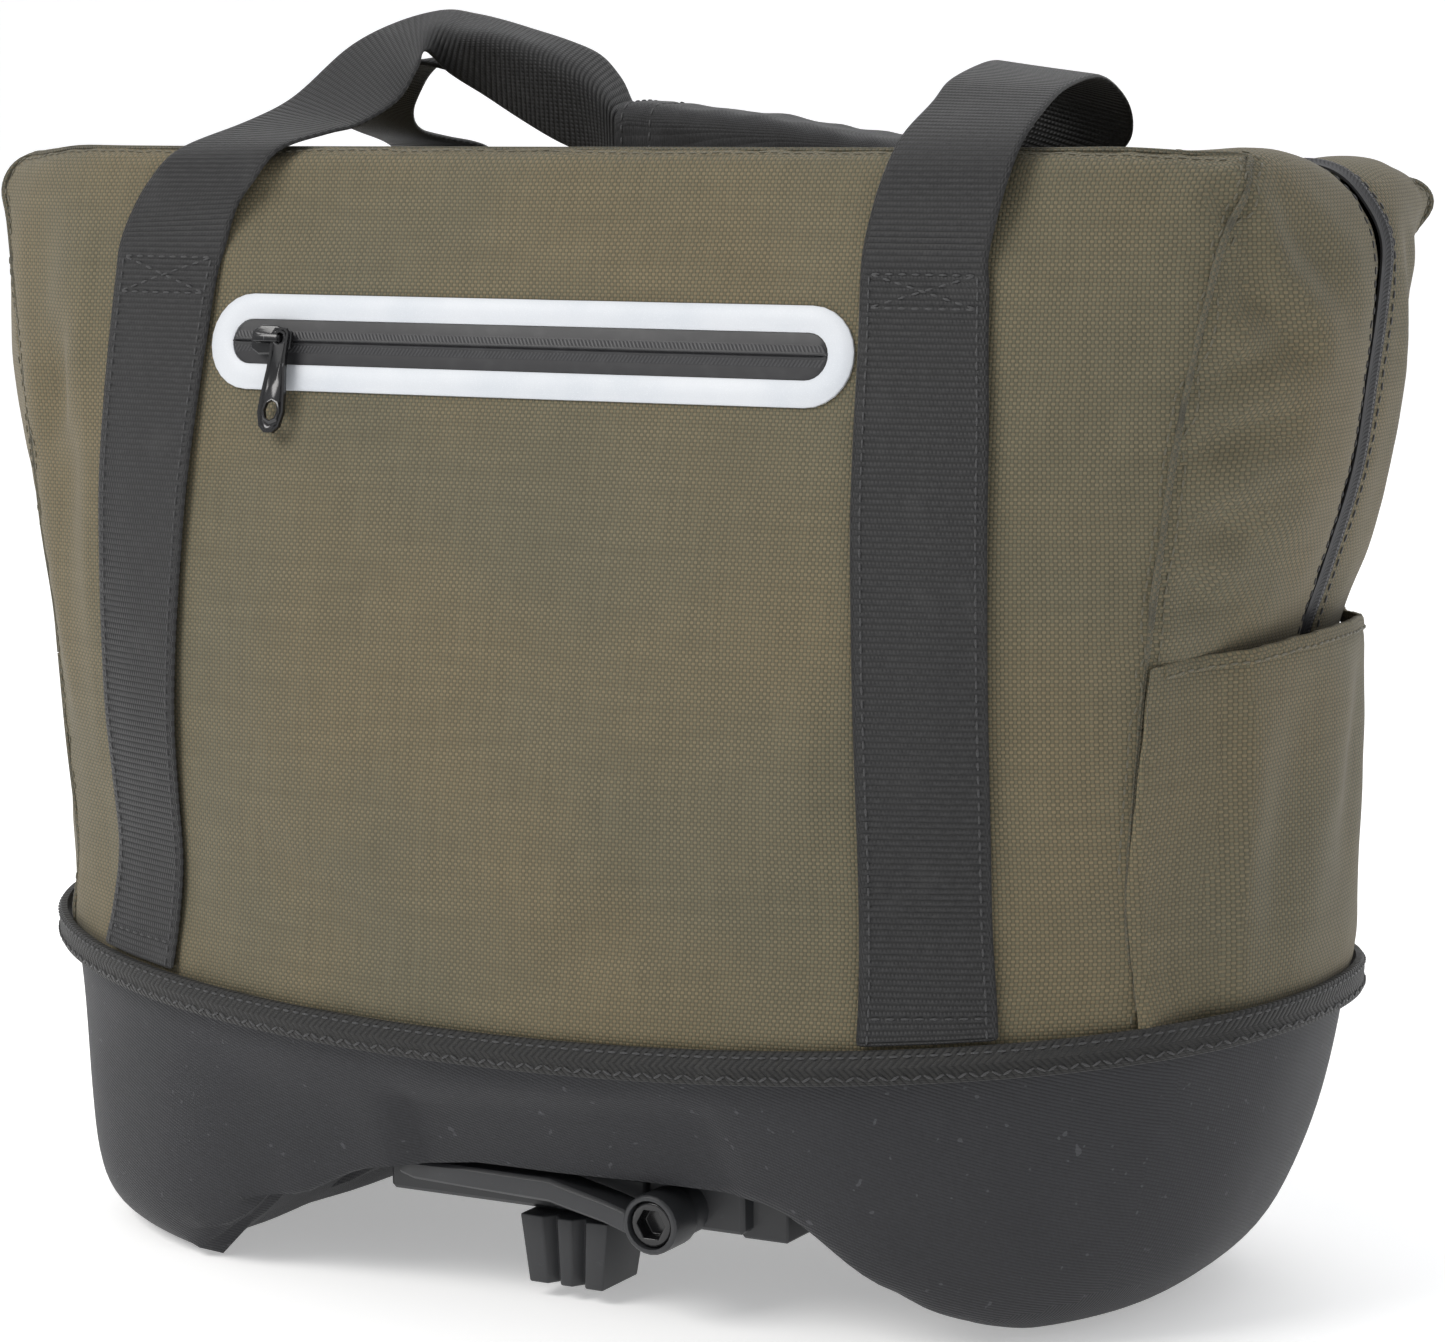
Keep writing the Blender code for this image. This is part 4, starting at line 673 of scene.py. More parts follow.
def many(name, places, finish):
    """One small rounded bead copied to many places."""
    bead = bmesh.new()
    bmesh.ops.create_uvsphere(bead, u_segments=6, v_segments=4, radius=1.0)
    corners = np.array([(*v.co, 1.0) for v in bead.verts])
    # sorted, because the sphere's faces come in another order on each run
    faces = sorted([v.index for v in f.verts] for f in bead.faces)
    bead.free()
    spots = np.concatenate([corners @ np.array(m).T[:, :3] for m in places])
    count = len(corners)
    mesh = bpy.data.meshes.new(name)
    copies = [[i + k * count for i in f] for k in range(len(places)) for f in faces]
    mesh.from_pydata(spots, [], copies)
    bm = bmesh.new()
    bm.from_mesh(mesh)
    bpy.data.meshes.remove(mesh)
    bm.loops.layers.uv.new("UVMap")
    return piece(name, bm, finish)


# The cloth body


def far_from_line(points, start, end):
    """Distance of each point from a line between two points."""
    start, end = np.array(start), np.array(end)
    line = end - start
    share = np.clip(((points - start) @ line) / (line @ line), 0.0, 1.0)
    return np.linalg.norm(points - start - share[:, None] * line, axis=1), share


def strap_mask(points):
    """1 where a strap or the welded zip lies on a wall, and 0 away from them."""
    x, y, z = np.abs(points[:, 0]), points[:, 1], points[:, 2]
    on_wall = np.abs(y) > 0.070
    strap = np.clip((x - 0.097) / 0.008, 0, 1) * np.clip((0.153 - x) / 0.008, 0, 1)
    front = y < 0
    zip_x = np.clip((0.112 - x) / 0.006, 0, 1)
    zip_z = np.clip(1 - (np.abs(z - FRAME_HEIGHT) - 0.0150) / 0.006, 0, 1)
    return on_wall * np.maximum(strap, front * zip_x * zip_z)


def cloth_relief(points):
    """How far the cloth stands out of its plain shape, in metres."""
    total = np.zeros(len(points))
    for *ends, width, depth in FOLDS:
        near, share = far_from_line(points * 1000.0, ends[:3], ends[3:])
        fade = np.sin(np.pi * np.clip(share * 0.9 + 0.05, 0, 1)) ** 0.5
        valley = np.exp(-((near / width) ** 2))
        ridge = 0.45 * np.exp(-(((near - 1.9 * width) / width) ** 2))
        total -= depth * fade * (valley - ridge) * 0.001
    broad = [noise.noise(Vector(p) * 21.0) for p in points]
    fine = [noise.noise(Vector(p) * 75.0 + Vector((5.0, 1.0, 3.0))) for p in points]
    total += np.array(broad) * 0.0016 + np.array(fine) * 0.00028
    mask = strap_mask(points)
    return total * (1 - mask) + mask * np.minimum(total * 0.25, 0.0)


def wall_uv(place, normal):
    """Distances along the cloth's yarns at a place, for walls, ends and top."""
    if abs(normal.y) > max(abs(normal.x), abs(normal.z)) * 0.75:
        return place.x, place.z
    if abs(normal.x) > abs(normal.z):
        return place.y, place.z
    return place.x, place.y


def lay_yarns(bm):
    layer = bm.loops.layers.uv.new("UVMap")
    for face in bm.faces:
        for loop in face.loops:
            loop[layer].uv = wall_uv(loop.vert.co, face.normal)


def sewn_in(bm):
    """Draws a pocket's two side edges out to the corner seams."""
    seam_z, seam_x, seam_y = (np.array(column) / 1000.0 for column in zip(*CORNER_SEAM))
    for vertex in bm.verts:
        x, y, z = vertex.co
        share = min(max((abs(y) - POCKET_FLAT) / (POCKET_HALF - POCKET_FLAT), 0.0), 1.0)
        share = share * share * (3.0 - 2.0 * share) * (1.0 if x > 0.0 else LEFT_POCKET_REACH)
        depth = 0.0016 * (abs(x) - POCKET_EDGE_X) / 0.003
        goal_x = float(np.interp(z, seam_z, seam_x)) + min(max(depth, -0.0008), 0.0012)
        goal_y = float(np.interp(z, seam_z, seam_y))
        vertex.co.x = math.copysign(abs(x) + share * (goal_x - abs(x)), x)
        vertex.co.y = math.copysign(abs(y) + share * share * (goal_y - abs(y)), y)


def cloth_piece(name, node, levels):
    """A cloth solid rounded, folded and pinched towards its seams."""
    bm = rounded(cad_copy(node), levels)
    if "pocket" in node:
        sewn_in(bm)
    bm.normal_update()
    co = np.array([v.co for v in bm.verts])
    normals = np.array([v.normal for v in bm.verts])
    outward = co - np.array(BODY_MIDDLE)
    outward = units(outward)
    facing = (normals * outward).sum(axis=1, keepdims=True)
    away = normals * facing + outward * (1.0 - np.abs(facing))
    away = units(away)
    rim = np.array([any(e.calc_face_angle(0.0) > 0.7 for e in v.link_edges) for v in bm.verts])
    border = KDTree(int(rim.sum()))
    for i, place in enumerate(co[rim]):
        border.insert(place, i)
    border.balance()
    from_rim = np.array([border.find(place)[2] for place in co])
    relief = cloth_relief(co) * (0.3 + 0.7 * np.clip(from_rim / 0.012, 0.0, 1.0))
    pucker = np.array([noise.noise(Vector(place) * 190.0) for place in co])
    relief -= SEAM_DEPTH * np.exp(-((from_rim / 0.0035) ** 2))
    relief += 0.0005 * pucker * np.exp(-((from_rim / 0.007) ** 2))
    for vertex, place in zip(bm.verts, co + away * relief[:, None]):
        vertex.co = place
    bm.normal_update()
    lay_yarns(bm)
    return piece(name, bm, "olive", stands_for=(node,), angle=60.0)


# name, node, rounding, width and length of the cut piece
CLOTH = (
    ("front_cloth", "front_panel", 3, (0.255, 0.375)),
    ("back_cloth", "back_panel", 3, (0.250, 0.372)),
    ("front_gusset_cloth", "zip_gusset_front", 3, (0.068, 0.710)),
    ("back_gusset_cloth", "zip_gusset_back", 3, (0.068, 0.700)),
    ("right_end_cloth", "end_panel_right", 2, (0.142, 0.088)),
    ("left_end_cloth", "end_panel_left", 2, (0.142, 0.088)),
    ("right_pocket_cloth", "end_pocket_right", 3, (0.144, 0.108)),
    ("left_pocket_cloth", "end_pocket_left", 3, (0.144, 0.108)),
)
cloth = {name: cloth_piece(name, node, levels) for name, node, levels, _ in CLOTH}
surfaces = {name: tree_of(obj) for name, obj in cloth.items()}


def wall_point(name, x, z, side, lift=0.0):
    """The point of a wall's outer face at x and z, and its normal."""
    start, way = Vector((x, side * 0.2, z)), Vector((0.0, -side, 0.0))
    place, normal, _, _ = surfaces[name].ray_cast(start, way)
    if normal.y * side < 0:
        normal = -normal
    return place + normal * lift, normal


# Seams


def seam_line(first, second, reach=0.0011):
    """Points along the outer edge where two cloth nodes meet, from the right end to the left."""
    one, other = merged(first), merged(second)
    near = KDTree(len(other.verts))
    for i, vertex in enumerate(other.verts):
        near.insert(vertex.co, i)
    near.balance()
    pairs = []
    for vertex in one.verts:
        place, _, distance = near.find(vertex.co)
        if distance < reach:
            pairs.append((vertex.co + place) / 2.0)
    one.free()
    other.free()
    far = [(p - BODY_MIDDLE).length for p in pairs]
    outer = []
    for i, p in enumerate(pairs):
        if not any((p - q).length < 0.0025 and far[j] > far[i] for j, q in enumerate(pairs)):
            outer.append(p)
    start = min(outer, key=lambda p: p.z - p.x)
    line = [start]
    left = [p for p in outer if p is not start]
    while left:
        following = min(left, key=lambda p: (p - line[-1]).length)
        if (following - line[-1]).length > 0.045:
            break
        line.append(following)
        left.remove(following)
    return line


def cord_along(name, line, radius, sides=8):
    """A thin round cord through the points, sunk into the cloth by its radius."""
    points = smooth_curve(line, 4)
    run = lengths_of(points)
    ahead = np.gradient(points, axis=0)
    ahead = units(ahead)
    outward = points - np.array(BODY_MIDDLE)
    outward -= (outward * ahead).sum(axis=1, keepdims=True) * ahead
    outward = units(outward)
    side = np.cross(ahead, outward)
    rows, around, along = [], [], []
    for place, out, across, at in zip(points - outward * radius, outward, side, run):
        angles = [2.0 * math.pi * k / sides for k in range(sides + 1)]
        rows.append([place + radius * (math.cos(a) * out + math.sin(a) * across) for a in angles])
        around.append([radius * a for a in angles])
        along.append([at] * (sides + 1))
    bm = sheet_of(rows, around, along, wrap=True)
    closed(bm, sides)
    piece(name, bm, "hem")


def shifted(line, surface, distance):
    """The line moved sideways over a surface."""
    points = smooth_curve(line, 4)
    ahead = np.gradient(points, axis=0)
    out = []
    for place, along in zip(points, ahead):
        _, normal, _, _ = surface.find_nearest(Vector(place))
        across = normal.cross(Vector(along)).normalized()
        if (Vector(place) - BODY_MIDDLE).dot(normal) < 0:
            across = -across
        spot, _, _, _ = surface.find_nearest(Vector(place) + across * distance)
        out.append(spot)
    return out


SEAMS = (
    ("front_seam", "front_panel", "zip_gusset_front", "front_cloth", "front_gusset_cloth"),
    ("back_seam", "back_panel", "zip_gusset_back", "back_cloth", "back_gusset_cloth"),
    ("front_right_foot_seam", "front_panel", "end_panel_right", "front_cloth", None),
    ("front_left_foot_seam", "front_panel", "end_panel_left", "front_cloth", None),
    ("back_right_foot_seam", "back_panel", "end_panel_right", "back_cloth", None),
    ("back_left_foot_seam", "back_panel", "end_panel_left", "back_cloth", None),
)
olive_stitches = []
for name, first, second, cloth_a, cloth_b in SEAMS:
    line = seam_line(first, second)
    cord_along(name, line, SEAM_CORD)
    for surface_name in (cloth_a, cloth_b):
        if surface_name is None:
            continue
        surface = surfaces[surface_name]
        sides = [shifted(line, surface, distance) for distance in (SEAM_STITCH_AT, -SEAM_STITCH_AT)]
        plain = smooth_curve(line, 4)
        reach = [sum((Vector(p) - q).length for p, q in zip(plain, side)) for side in sides]
        stitch_row(olive_stitches, sides[reach[1] > reach[0]], surface)


def hem(name, cloth_name, sign, half):
    """The turned-over top edge of a pocket, with its line of stitches."""
    surface = surfaces[cloth_name]
    inward = Vector((-sign, 0.0, 0.0))
    rows, across, along = [], [], []
    for y in np.linspace(-half, half, 64):
        top = next(
            z
            for z in np.arange(0.2000, 0.1700, -0.0004)
            if surface.ray_cast(Vector((sign * FAR_SIDE, y, z)), inward)[0]
        )
        row = []
        for drop, lift in ((0.0036, 0.0001), (0.0032, 0.0005), (0.0016, 0.0006), (0.0005, 0.0005)):
            place = surface.ray_cast(Vector((sign * FAR_SIDE, y, top - drop)), inward)[0]
            row.append(place - inward * lift)
        edge = row[-1]
        row.append(edge + inward * 0.0006 + Vector((0.0, 0.0, 0.0009)))
        row.append(edge + inward * 0.0018 + Vector((0.0, 0.0, 0.0008)))
        row.append(edge + inward * 0.0026 + Vector((0.0, 0.0, -0.0026)))
        rows.append(row + row[:1])
        across.append([0.0, 0.0005, 0.0020, 0.0032, 0.0040, 0.0052, 0.0080, 0.0118])
        along.append([y] * len(rows[-1]))
    bm = sheet_of(rows, across, along, wrap=True)
    closed(bm, 8)
    obj = piece(name, bm, "olive")
    stitch_row(olive_stitches, [row[1] + Vector((0.0, 0.0, 0.0004)) for row in rows], tree_of(obj))


hem("right_pocket_hem", "right_pocket_cloth", 1.0, HEM_HALF)
hem("left_pocket_hem", "left_pocket_cloth", -1.0, LEFT_HEM_HALF)


# The two handles


def rings_of(node, count, first_ring):
    """The sections of a tube-shaped node, each with its points in the same order."""
    bm = merged(node)
    ring = first_ring(bm)
    places = [v.co.copy() for v in ring]
    rings = [places]
    seen = set(ring)
    while True:
        ahead = {e.other_vert(v) for v in ring if v for e in v.link_edges} - seen
        if not count - 1 <= len(ahead) <= count:
            break
        ahead = sorted(ahead, key=lambda v: v.index) + [None] * (count - len(ahead))
        linked = {(v, e.other_vert(v)) for v in ring if v for e in v.link_edges}
        cost = []
        for vertex, place in zip(ring, places):
            row = [0.03 if b is None else (place - b.co).length for b in ahead]
            cost.append([c + (0.0 if (vertex, b) in linked else 0.05) for c, b in zip(row, ahead)])
        best = min(
            itertools.permutations(range(count)),
            key=lambda order: sum(cost[i][j] for i, j in enumerate(order)),
        )
        ring = [ahead[j] for j in best]
        moves = [v.co - place for v, place in zip(ring, places) if v]
        step = sum(moves, Vector()) / len(moves)
        places = [v.co.copy() if v else place + step for v, place in zip(ring, places)]
        seen |= set(ring)
        rings.append(places)
    bm.free()
    return np.array(rings)


def low_strap_ring(bm, side, first_x):
    """The lowest section of a strap at the left, from its first edge over the top face and back."""
    low = sorted((v for v in bm.verts if v.co.x < 0), key=lambda v: v.co.z)[:6]
    low.sort(key=lambda v: v.co.x * first_x)
    over, under = [], []
    for i in range(0, 6, 2):
        pair = sorted(low[i : i + 2], key=lambda v: v.co.y * side, reverse=True)
        over.append(pair[0])
        under.append(pair[1])
    return over + under[::-1]


def thickened(bm, thickness, levels=1):
    """A closed sheet from an open one, with rounded edges."""
    obj = linked("work", mesh_from("work", bm))
    solid = obj.modifiers.new("thickness", "SOLIDIFY")
    solid.thickness = thickness
    solid.offset = -1.0
    if levels:
        subdivision(obj, levels)
    return applied(obj)


def strap_faces(rings):
    """The outer face of a strap as rows of points across it."""
    over = smooth_curve(rings[:, :3], 5)
    shares = np.linspace(0.0, 1.0, STRAP_COLUMNS)
    rows = []
    for station in over:
        row = []
        for share in shares:
            reach = 0.09 * min(1.0, 8.0 * min(share, 1.0 - share))
            near = [share + reach * k for k in (-1.0, -0.5, 0.0, 0.5, 1.0)]
            knots = (0.0, STRAP_CREASE, 1.0)
            row.append([np.mean(np.interp(near, knots, station[:, k])) for k in range(3)])
        rows.append(row)
    return np.array(rows)


def strap(name, node, side, first_x):
    rings = rings_of(node, 6, lambda bm: low_strap_ring(bm, side, first_x))
    rows = strap_faces(rings)
    run = lengths_of(rows[:, STRAP_COLUMNS // 2])
    across = [list(np.linspace(0.0, STRAP_WIDTH, STRAP_COLUMNS))] * len(rows)
    along = [[at] * STRAP_COLUMNS for at in run]
    bm = sheet_of(rows, across, along)
    bm.normal_update()
    first = min(bm.faces, key=lambda f: (f.calc_center_median() - Vector(rows[0][0])).length)
    if first.normal.y * side < 0:
        bmesh.ops.reverse_faces(bm, faces=bm.faces)
    bm = thickened(bm, WEBBING_THICKNESS)
    obj = piece(name, bm, "webbing", stands_for=(node,))
    return obj, rows


front_strap, front_rows = strap("front_strap", "front_handle_webbing", -1.0, 1.0)
rear_strap, rear_rows = strap("rear_strap", "rear_handle_webbing", 1.0, -1.0)
black_stitches = []
for obj, rows in ((front_strap, front_rows), (rear_strap, rear_rows)):
    surface = tree_of(obj)
    low = [i for i, row in enumerate(rows) if row[6][2] < BOX_STITCH[1]]
    split = next(i for i, (a, b) in enumerate(zip(low, low[1:])) if b > a + 1) + 1
    for part in (low[:split], low[split:]):
        for column in (1, STRAP_COLUMNS - 2):
            stitch_row(black_stitches, [rows[i][column] for i in part], surface, lift=0.0001)
        for height in (*BOX_STITCH, STRAP_FOOT_STITCH):
            near = min(part, key=lambda i: abs(rows[i][6][2] - height))
            stitch_row(black_stitches, list(rows[near][1:-1]), surface, lift=0.0001)
        top, foot = [min(part, key=lambda i: abs(rows[i][6][2] - h)) for h in BOX_STITCH]
        for a, b in ((1, -2), (-2, 1)):
            stitch_row(black_stitches, [rows[top][a], rows[foot][b]], surface, lift=0.0001)


# The sleeve that gathers the straps


def sleeve():
    table = np.array(GRIP_ROWS)
    xs = np.linspace(table[0, 0], table[-1, 0], 84)
    angles = np.linspace(0.0, 2.0 * math.pi, 49)
    rows, around, along = [], [], []
    for x in xs:
        middle, top, height, width = (np.interp(x, table[:, 0], table[:, k]) for k in range(1, 5))
        crown = 1.0 + 0.012 * math.sin(math.pi * (x - xs[0]) / (xs[-1] - xs[0]))
        band = 0.45 if x > xs[-1] - SLEEVE_BAND or x < xs[0] + SLEEVE_BAND else 0.0
        row = []
        for a in angles:
            c, s = math.cos(a), math.sin(a)
            y, z = rounded_square(a, SLEEVE_POWER)
            y, z = y * (width / 2 + band) * crown, z * (height / 2 + band) * crown
            spot = Vector((x, middle + y, top - height / 2 + z))
            ripple = noise.noise(spot * 0.13) * 0.7 + noise.noise(spot * 0.045) * 0.8
            row.append((spot + Vector((0.0, c, s)) * ripple) * 0.001)
        rows.append(row)
        around.append([0.00045 * width * a / 2.0 for a in angles])
        along.append([x * 0.001] * len(angles))
    bm = sheet_of(rows, around, along, wrap=True)
    face_out(bm, Vector((0.04, -0.003, 0.324)))
    bm = thickened(bm, SLEEVE_THICKNESS)
    obj = piece("grip_sleeve", bm, "sleeve", stands_for=("handle_grip",))
    surface = tree_of(obj)
    rows = np.array(rows)
    for column in (26, 46):
        stitch_row(black_stitches, rows[2:-2, column], surface, lift=0.0001)
    for row in (2, 9, -10, -3):
        stitch_row(black_stitches, rows[row], surface, lift=0.0001)


sleeve()


# The trim over the joint of tray and cloth


def trim_height(x):
    return TRIM_TOP + TRIM_RISE * (abs(x) / TRIM_HALF_LENGTH) ** 2


def trim_ring(inset, share, count):
    """Points round the trim at a share of its height."""
    ring = []
    for i in range(count + 1):
        x, y = rounded_square(2.0 * math.pi * i / count, TRIM_POWER)
        x, y = x * (TRIM_HALF_LENGTH - inset), y * (TRIM_HALF_DEPTH - inset)
        foot = trim_height(x) - TRIM_BAND
        ring.append((x, y, foot + share * TRIM_BAND))
    return ring


def trim():
    # inset and share of the height, round the section of a turned-in tape
    profile = (
        (0.0011, 0.0), (0.0004, 0.03), (0.0001, 0.10), (0.0, 0.25), (0.0002, 0.42), (0.0, 0.60),
        (0.0, 0.80), (0.0002, 0.93), (0.0006, 0.985), (0.0014, 1.0), (0.0024, 0.99), (0.0025, 0.5),
        (0.0022, 0.0), (0.0011, 0.0),
    )
    count = 360
    rings = [trim_ring(inset, share, count) for inset, share in profile]
    run = lengths_of(trim_ring(0.0, 0.5, count))
    points = [[ring[i] for ring in rings] for i in range(count + 1)]
    across = [[share * TRIM_BAND for _, share in profile]] * (count + 1)
    along = [[at] * len(profile) for at in run]
    bm = sheet_of(points, across, along, wrap=True)
    turned_out(bm)
    obj = piece("binding_tape", bm, "trim", stands_for=("trim_binding",))
    surface = tree_of(obj)
    low, high = TRIM_STITCH_SHARES
    zigzag = {"pitch": 0.0030, "length": 0.0030, "slant": 0.5}
    stitch_row(black_stitches, trim_ring(0.0, low, 300), surface, **zigzag)
    stitch_row(black_stitches, trim_ring(0.0, high, 300), surface)


trim()


# The moulded tray


def soft_step(value, low, high):
    share = min(max((value - low) / (high - low), 0.0), 1.0)
    return share * share * (3.0 - 2.0 * share)


def tray():
    bm = rounded(cad_copy("base_shell"), 2, crease_angle=50.0)
    lip_x, lip_depth = zip(*TRAY_LIP)
    left, right, top = TRAY_RECESS
    for vertex in bm.verts:
        x, y, z = (value * 1000.0 for value in vertex.co)
        front = soft_step(-y, 90.0, 100.0)
        lip = float(np.interp(x, lip_x, lip_depth)) * front * soft_step(62.0 - z, 0.0, 26.0)
        across = soft_step(x, left - 4.0, left + 4.0) * soft_step(right - x, -5.0, 5.0)
        upper = top + (x - left) * 0.05
        recess = RECESS_DEPTH * across * front * soft_step(upper - z, -4.0, 4.0)
        vertex.co.y += recess * 0.001
        vertex.co.z -= lip * 0.001
    bm.normal_update()
    for vertex in bm.verts:
        dent = noise.noise(vertex.co * 26.0) * 0.0007 - 0.0002
        vertex.co += vertex.normal * dent
    lay_yarns(bm)
    piece("moulded_tray", bm, "foam", stands_for=("base_shell",), angle=50.0)


tray()


# The welded pocket zip


def stadium(half_length, half_height, arc=14, straight=40):
    """A round-ended outline, counted the same way for any size."""
    reach = half_length - half_height
    points = []
    for end in (1.0, -1.0):
        turn = 0.0 if end > 0 else math.pi
        for i in range(arc):
            a = turn + math.pi * (i / (arc - 1)) - math.pi / 2
            points.append((end * reach + half_height * math.cos(a), half_height * math.sin(a)))
        for k in range(1, straight):
            share = 1.0 - 2.0 * k / straight
            points.append((end * reach * share, end * half_height))
    return points + points[:1]


def zip_frame():
    outline = stadium(FRAME_HALF_LENGTH, FRAME_HALF_HEIGHT)
    window = stadium(WINDOW_HALF_LENGTH, WINDOW_HALF_HEIGHT)
    # share from the outline to the window and height off the cloth
    profile = (
        (0.0, 0.0001), (0.0, 0.0009), (0.05, 0.0012), (0.5, 0.00125), (0.93, 0.0012),
        (1.0, 0.0009), (1.0, 0.0001), (0.5, 0.0001), (0.0, 0.0001),
    )
    rows, across, along = [], [], []
    run = lengths_of(outline)
    for (a, b), at in zip(zip(outline, window), run):
        row = []
        for share, lift in profile:
            x = a[0] + share * (b[0] - a[0])
            z = FRAME_HEIGHT + a[1] + share * (b[1] - a[1])
            row.append(wall_point("front_cloth", x, z, -1.0, lift)[0])
        rows.append(row)
        across.append([share * 0.007 for share, _ in profile])
        along.append([at] * len(profile))
    bm = sheet_of(rows, across, along, wrap=True)
    turned_out(bm)
    piece("zip_window_frame", bm, "film", stands_for=("reflective_zip_frame",))


def pocket_tape():
    reach = WINDOW_HALF_LENGTH - 0.0003
    half = WINDOW_HALF_HEIGHT - 0.0002
    # share of the half height and height off the cloth
    profile = (
        (-1.0, 0.0004), (-0.75, 0.0006), (-0.5, 0.0007), (-0.16, 0.0008), (-0.07, 0.0012),
        (0.0, 0.0007), (0.07, 0.0012), (0.16, 0.0008), (0.5, 0.0007), (0.75, 0.0006), (1.0, 0.0004),
    )
    rows, across, along = [], [], []
    for x in np.linspace(-reach, reach, 150):
        over = max(abs(x) - (reach - half), 0.0)
        tall = math.sqrt(max(half**2 - over**2, 1e-7))
        spots = [(FRAME_HEIGHT + s * tall, lift) for s, lift in profile]
        rows.append([wall_point("front_cloth", x, z, -1.0, lift)[0] for z, lift in spots])
        across.append([s * tall for s, _ in profile])
        along.append([x] * len(profile))
    bm = sheet_of(rows, across, along)
    face_out(bm, BODY_MIDDLE)
    bm = thickened(bm, 0.0004, levels=0)
    piece("pocket_zip_band", bm, "zip", stands_for=("pocket_zip_tape",))


def bead_row(name, line, size, finish, pitch):
    """A row of small coil teeth along a line of points."""
    size = Matrix.Diagonal((*size, 1.0))
    many(name, [Matrix.Translation(spot) @ size for spot in evenly(line, pitch)], finish)


zip_frame()
pocket_tape()
coil_x = np.linspace(-COIL_HALF_LENGTH, COIL_HALF_LENGTH, 120)
coil = [wall_point("front_cloth", x, FRAME_HEIGHT, -1.0, 0.0008)[0] for x in coil_x]
bead_row("pocket_zip_coil", coil, (0.00034, 0.0004, 0.0005), "coil", 0.0011)


# The long zip over the top


def low_zip_ring(bm):
    low = sorted((v for v in bm.verts if v.co.x > 0), key=lambda v: v.co.z)[:4]
    low.sort(key=lambda v: v.co.x, reverse=True)
    return sorted(low[:2], key=lambda v: v.co.y) + sorted(low[2:], key=lambda v: -v.co.y)


def main_zip():
    rings = rings_of("main_zip_tape", 4, low_zip_ring)
    edges = smooth_curve(rings[:, :2], 6)
    shares = (0.0, 0.16, 0.30, 0.40, 0.46, 0.5, 0.54, 0.60, 0.70, 0.84, 1.0)
    lifts = (0.0, 0.0003, 0.0005, 0.0012, 0.0011, 0.0006, 0.0011, 0.0012, 0.0005, 0.0003, 0.0)
    run = lengths_of(edges.mean(axis=1))
    ahead = np.gradient(edges.mean(axis=1), axis=0)
    rows, across, along, middle = [], [], [], []
    for (a, b), forward, at in zip(edges, ahead, run):
        out = np.cross(forward, b - a)
        out /= np.linalg.norm(out)
        if out @ ((a + b) / 2 - np.array(BODY_MIDDLE)) < 0:
            out = -out
        rows.append([a + s * (b - a) + lift * out for s, lift in zip(shares, lifts)])
        across.append([(s - 0.5) * 0.0092 for s in shares])
        along.append([at] * len(shares))
        middle.append((a + b) / 2 + 0.0007 * out)
    bm = sheet_of(rows, across, along)
    face_out(bm, BODY_MIDDLE)
    bm = thickened(bm, 0.0007, levels=0)
    piece("main_zip_band", bm, "zip", stands_for=("main_zip_tape",))
    for edge, other in ((0, 1), (1, 0)):
        beside = edges[:, edge] - edges[:, other]
        beside = units(beside)
        line = edges[:, edge] + beside * ZIP_STITCH_AT
        name = "back_gusset_cloth" if edges[:, edge, 1].mean() > 0 else "front_gusset_cloth"
        stitch_row(black_stitches, line[6:-6], surfaces[name])
    bead_row("main_zip_coil", middle, (0.0006, 0.0006, 0.0006), "coil", 0.0013)


main_zip()


# Hard pieces


def hard_piece(name, node, finish, width, body, angle=28.0):
    """A rigid solid with its edges softened."""
    bm = merged(node)
    flat = {"angle_limit": math.radians(2.0), "use_dissolve_boundaries": False}
    bmesh.ops.dissolve_limit(bm, verts=bm.verts, edges=bm.edges, **flat)
    edges = [e for e in bm.edges if e.calc_face_angle(0.0) > math.radians(angle)]
    round_off = {"offset_type": "OFFSET", "affect": "EDGES", "segments": 2, "profile": 0.5}
    bmesh.ops.bevel(bm, geom=edges, offset=width, material=-1, clamp_overlap=True, **round_off)
    turned_out(bm)
    bm.loops.layers.uv.new("UVMap")
    return piece(name, bm, finish, body, stands_for=(node,), angle=30.0)


def zip_pull(name, node, body, outward):
    """A pull tab with a recessed face between raised rims."""
    bm = cad_copy(node)
    faces = [f for f in bm.faces if f.normal.dot(outward) > 0.95]
    for thickness, depth in ((0.0007, 0.0), (0.0002, -0.0003)):
        size = {"thickness": thickness, "depth": depth, "use_even_offset": False}
        bmesh.ops.inset_region(bm, faces=faces, **size)
    bm.loops.layers.uv.new("UVMap")
    return piece(name, bm, "metal", body, stands_for=(node,), angle=30.0)


# name, node, finish, width of the softened edge, body
HARD_PIECES = (
    ("mount_block", "adapter_housing", "plastic", 0.0006, "bag"),
    ("mount_tongue", "adapter_tongue", "plastic", 0.0006, "bag"),
    ("lever_bar", "release_lever", "plastic", 0.0003, "lever"),
    ("lever_bolt", "pivot_bolt", "metal", 0.0003, "bag"),
    ("pocket_slider", "pocket_zip_slider", "metal", 0.0003, "bag"),
    ("main_slider", "main_zip_slider", "metal", 0.0003, "bag"),
)
for entry in HARD_PIECES:
    hard_piece(*entry)
zip_pull("pocket_pull_tab", "pocket_zip_pull", "pocket_pull", PULL_OUT)
zip_pull("main_pull_tab", "main_zip_pull", "main_pull", MAIN_PULL_OUT)


many("olive_stitching", olive_stitches, "olive_thread")
many("black_stitching", black_stitches, "black_thread")


# Floor, lights and camera


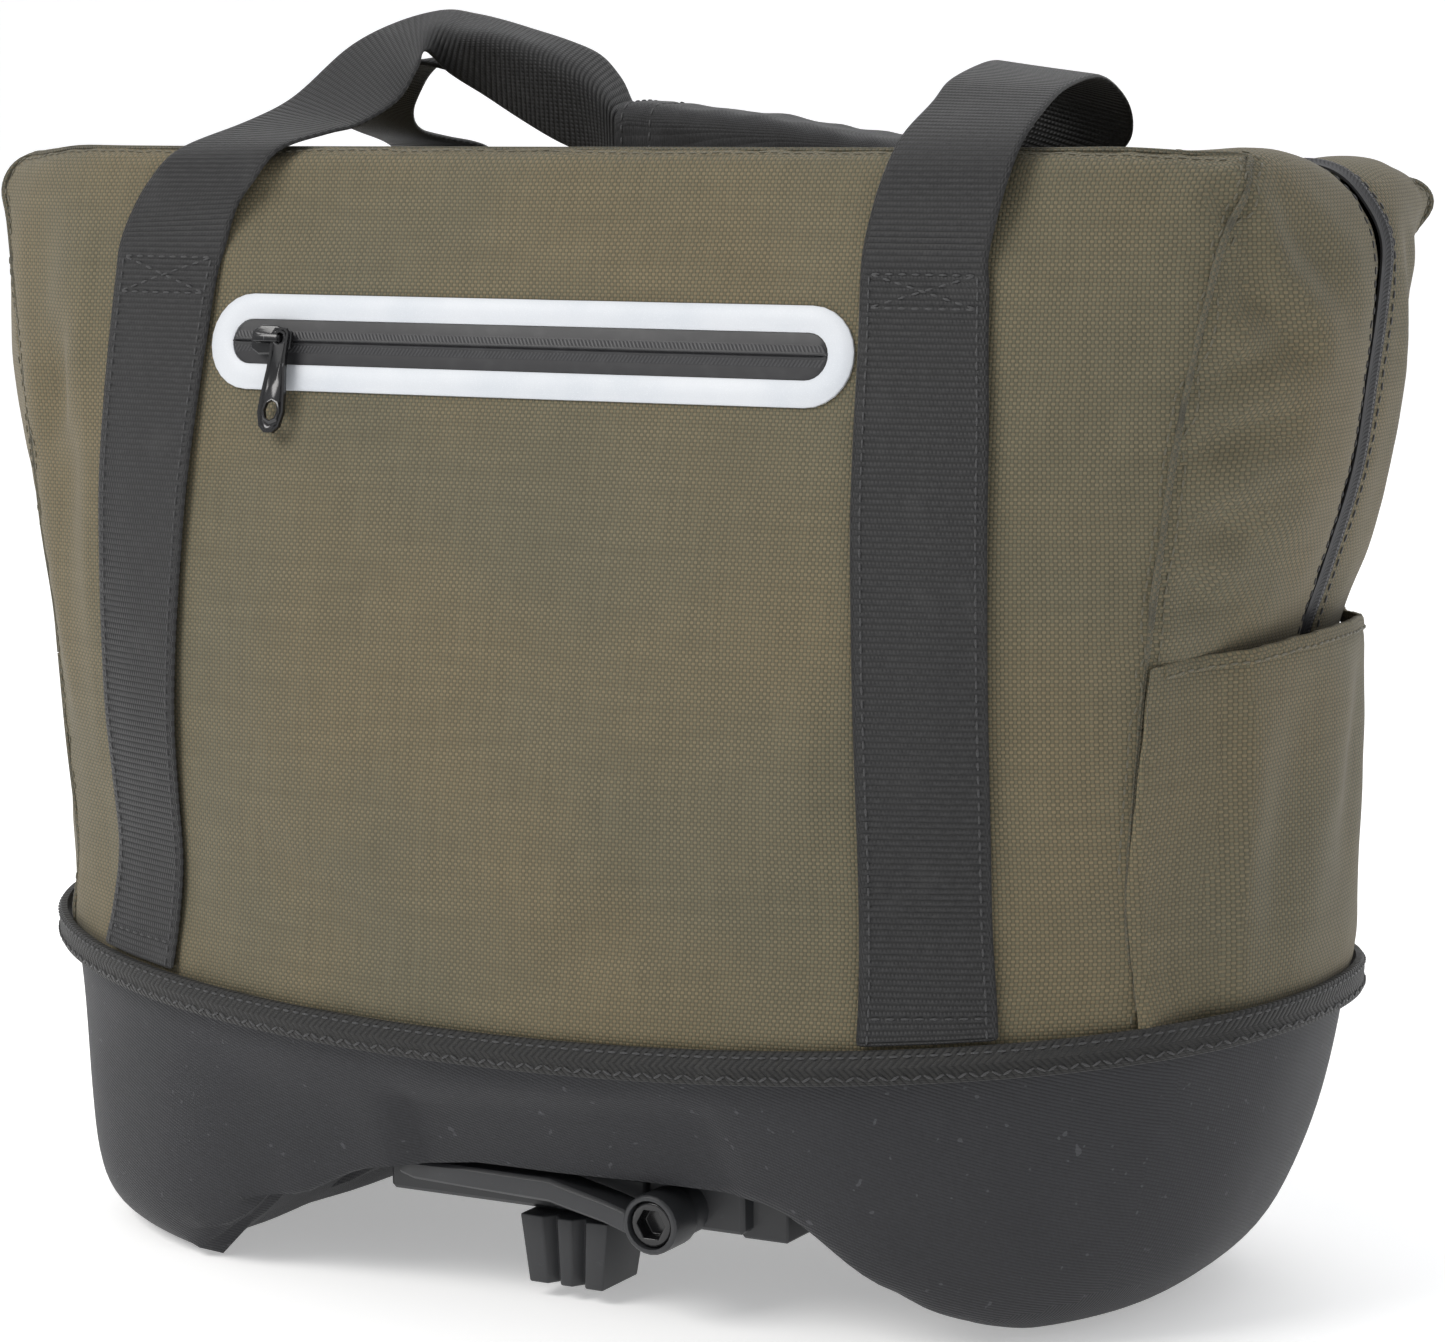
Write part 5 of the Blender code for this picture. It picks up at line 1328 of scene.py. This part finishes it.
def backdrop():
    """A floor that curves up behind the bag."""
    profile = [(-16.0, 0.0), (-6.0, 0.0), (-2.0, 0.0), (0.0, 0.0), (1.5, 0.0), (2.6, 0.0)]
    for k in range(1, 9):
        a = math.pi / 2 * k / 8
        profile.append((2.6 + 1.2 * math.sin(a), 1.2 - 1.2 * math.cos(a)))
    profile += [(3.8, 2.6), (3.8, 4.5)]
    rows = [[(x, y, z) for x in (-12.0, -3.0, 3.0, 12.0)] for y, z in profile]
    flat = [[0.0] * 4] * len(rows)
    bm = sheet_of(rows, flat, flat)
    turned_out(bm)
    floor = linked("floor", mesh_from("floor", bm))
    floor.data.shade_smooth()
    floor.data.materials.append(FINISHES["floor"][0])


def area_light(name, place, size, power, colour):
    data = bpy.data.lights.new(name, "AREA")
    data.shape = "RECTANGLE"
    data.size, data.size_y = size
    data.energy = power
    data.color = colour
    obj = linked(name, data)
    obj.location = place
    obj.rotation_euler = (LIGHT_AIM - Vector(place)).to_track_quat("-Z", "Y").to_euler()


def studio():
    world = bpy.data.worlds.new("studio")
    world.use_nodes = True
    background = world.node_tree.nodes["Background"]
    background.inputs["Color"].default_value = WORLD_COLOUR
    background.inputs["Strength"].default_value = WORLD_STRENGTH
    bpy.context.scene.world = world
    for light in LIGHTS:
        area_light(*light)


def camera():
    data = bpy.data.cameras.new("camera")
    data.lens = CAMERA_LENS
    data.sensor_width = 36.0
    data.clip_start = 0.05
    yaw, pitch, roll = (math.radians(a) for a in CAMERA_DEGREES)
    forward = Vector(
        (-math.sin(yaw) * math.cos(pitch), math.cos(yaw) * math.cos(pitch), -math.sin(pitch))
    )
    right = Vector((math.cos(yaw), math.sin(yaw), 0.0))
    up = right.cross(forward)
    across = right * math.cos(roll) + up * math.sin(roll)
    upward = up * math.cos(roll) - right * math.sin(roll)
    turn = Matrix((across, upward, -forward)).transposed().to_4x4()
    obj = linked("camera", data)
    obj.matrix_world = Matrix.Translation(CAMERA_PLACE) @ turn
    bpy.context.scene.camera = obj


backdrop()
studio()
camera()
bpy.context.scene.view_settings.view_transform = "Standard"
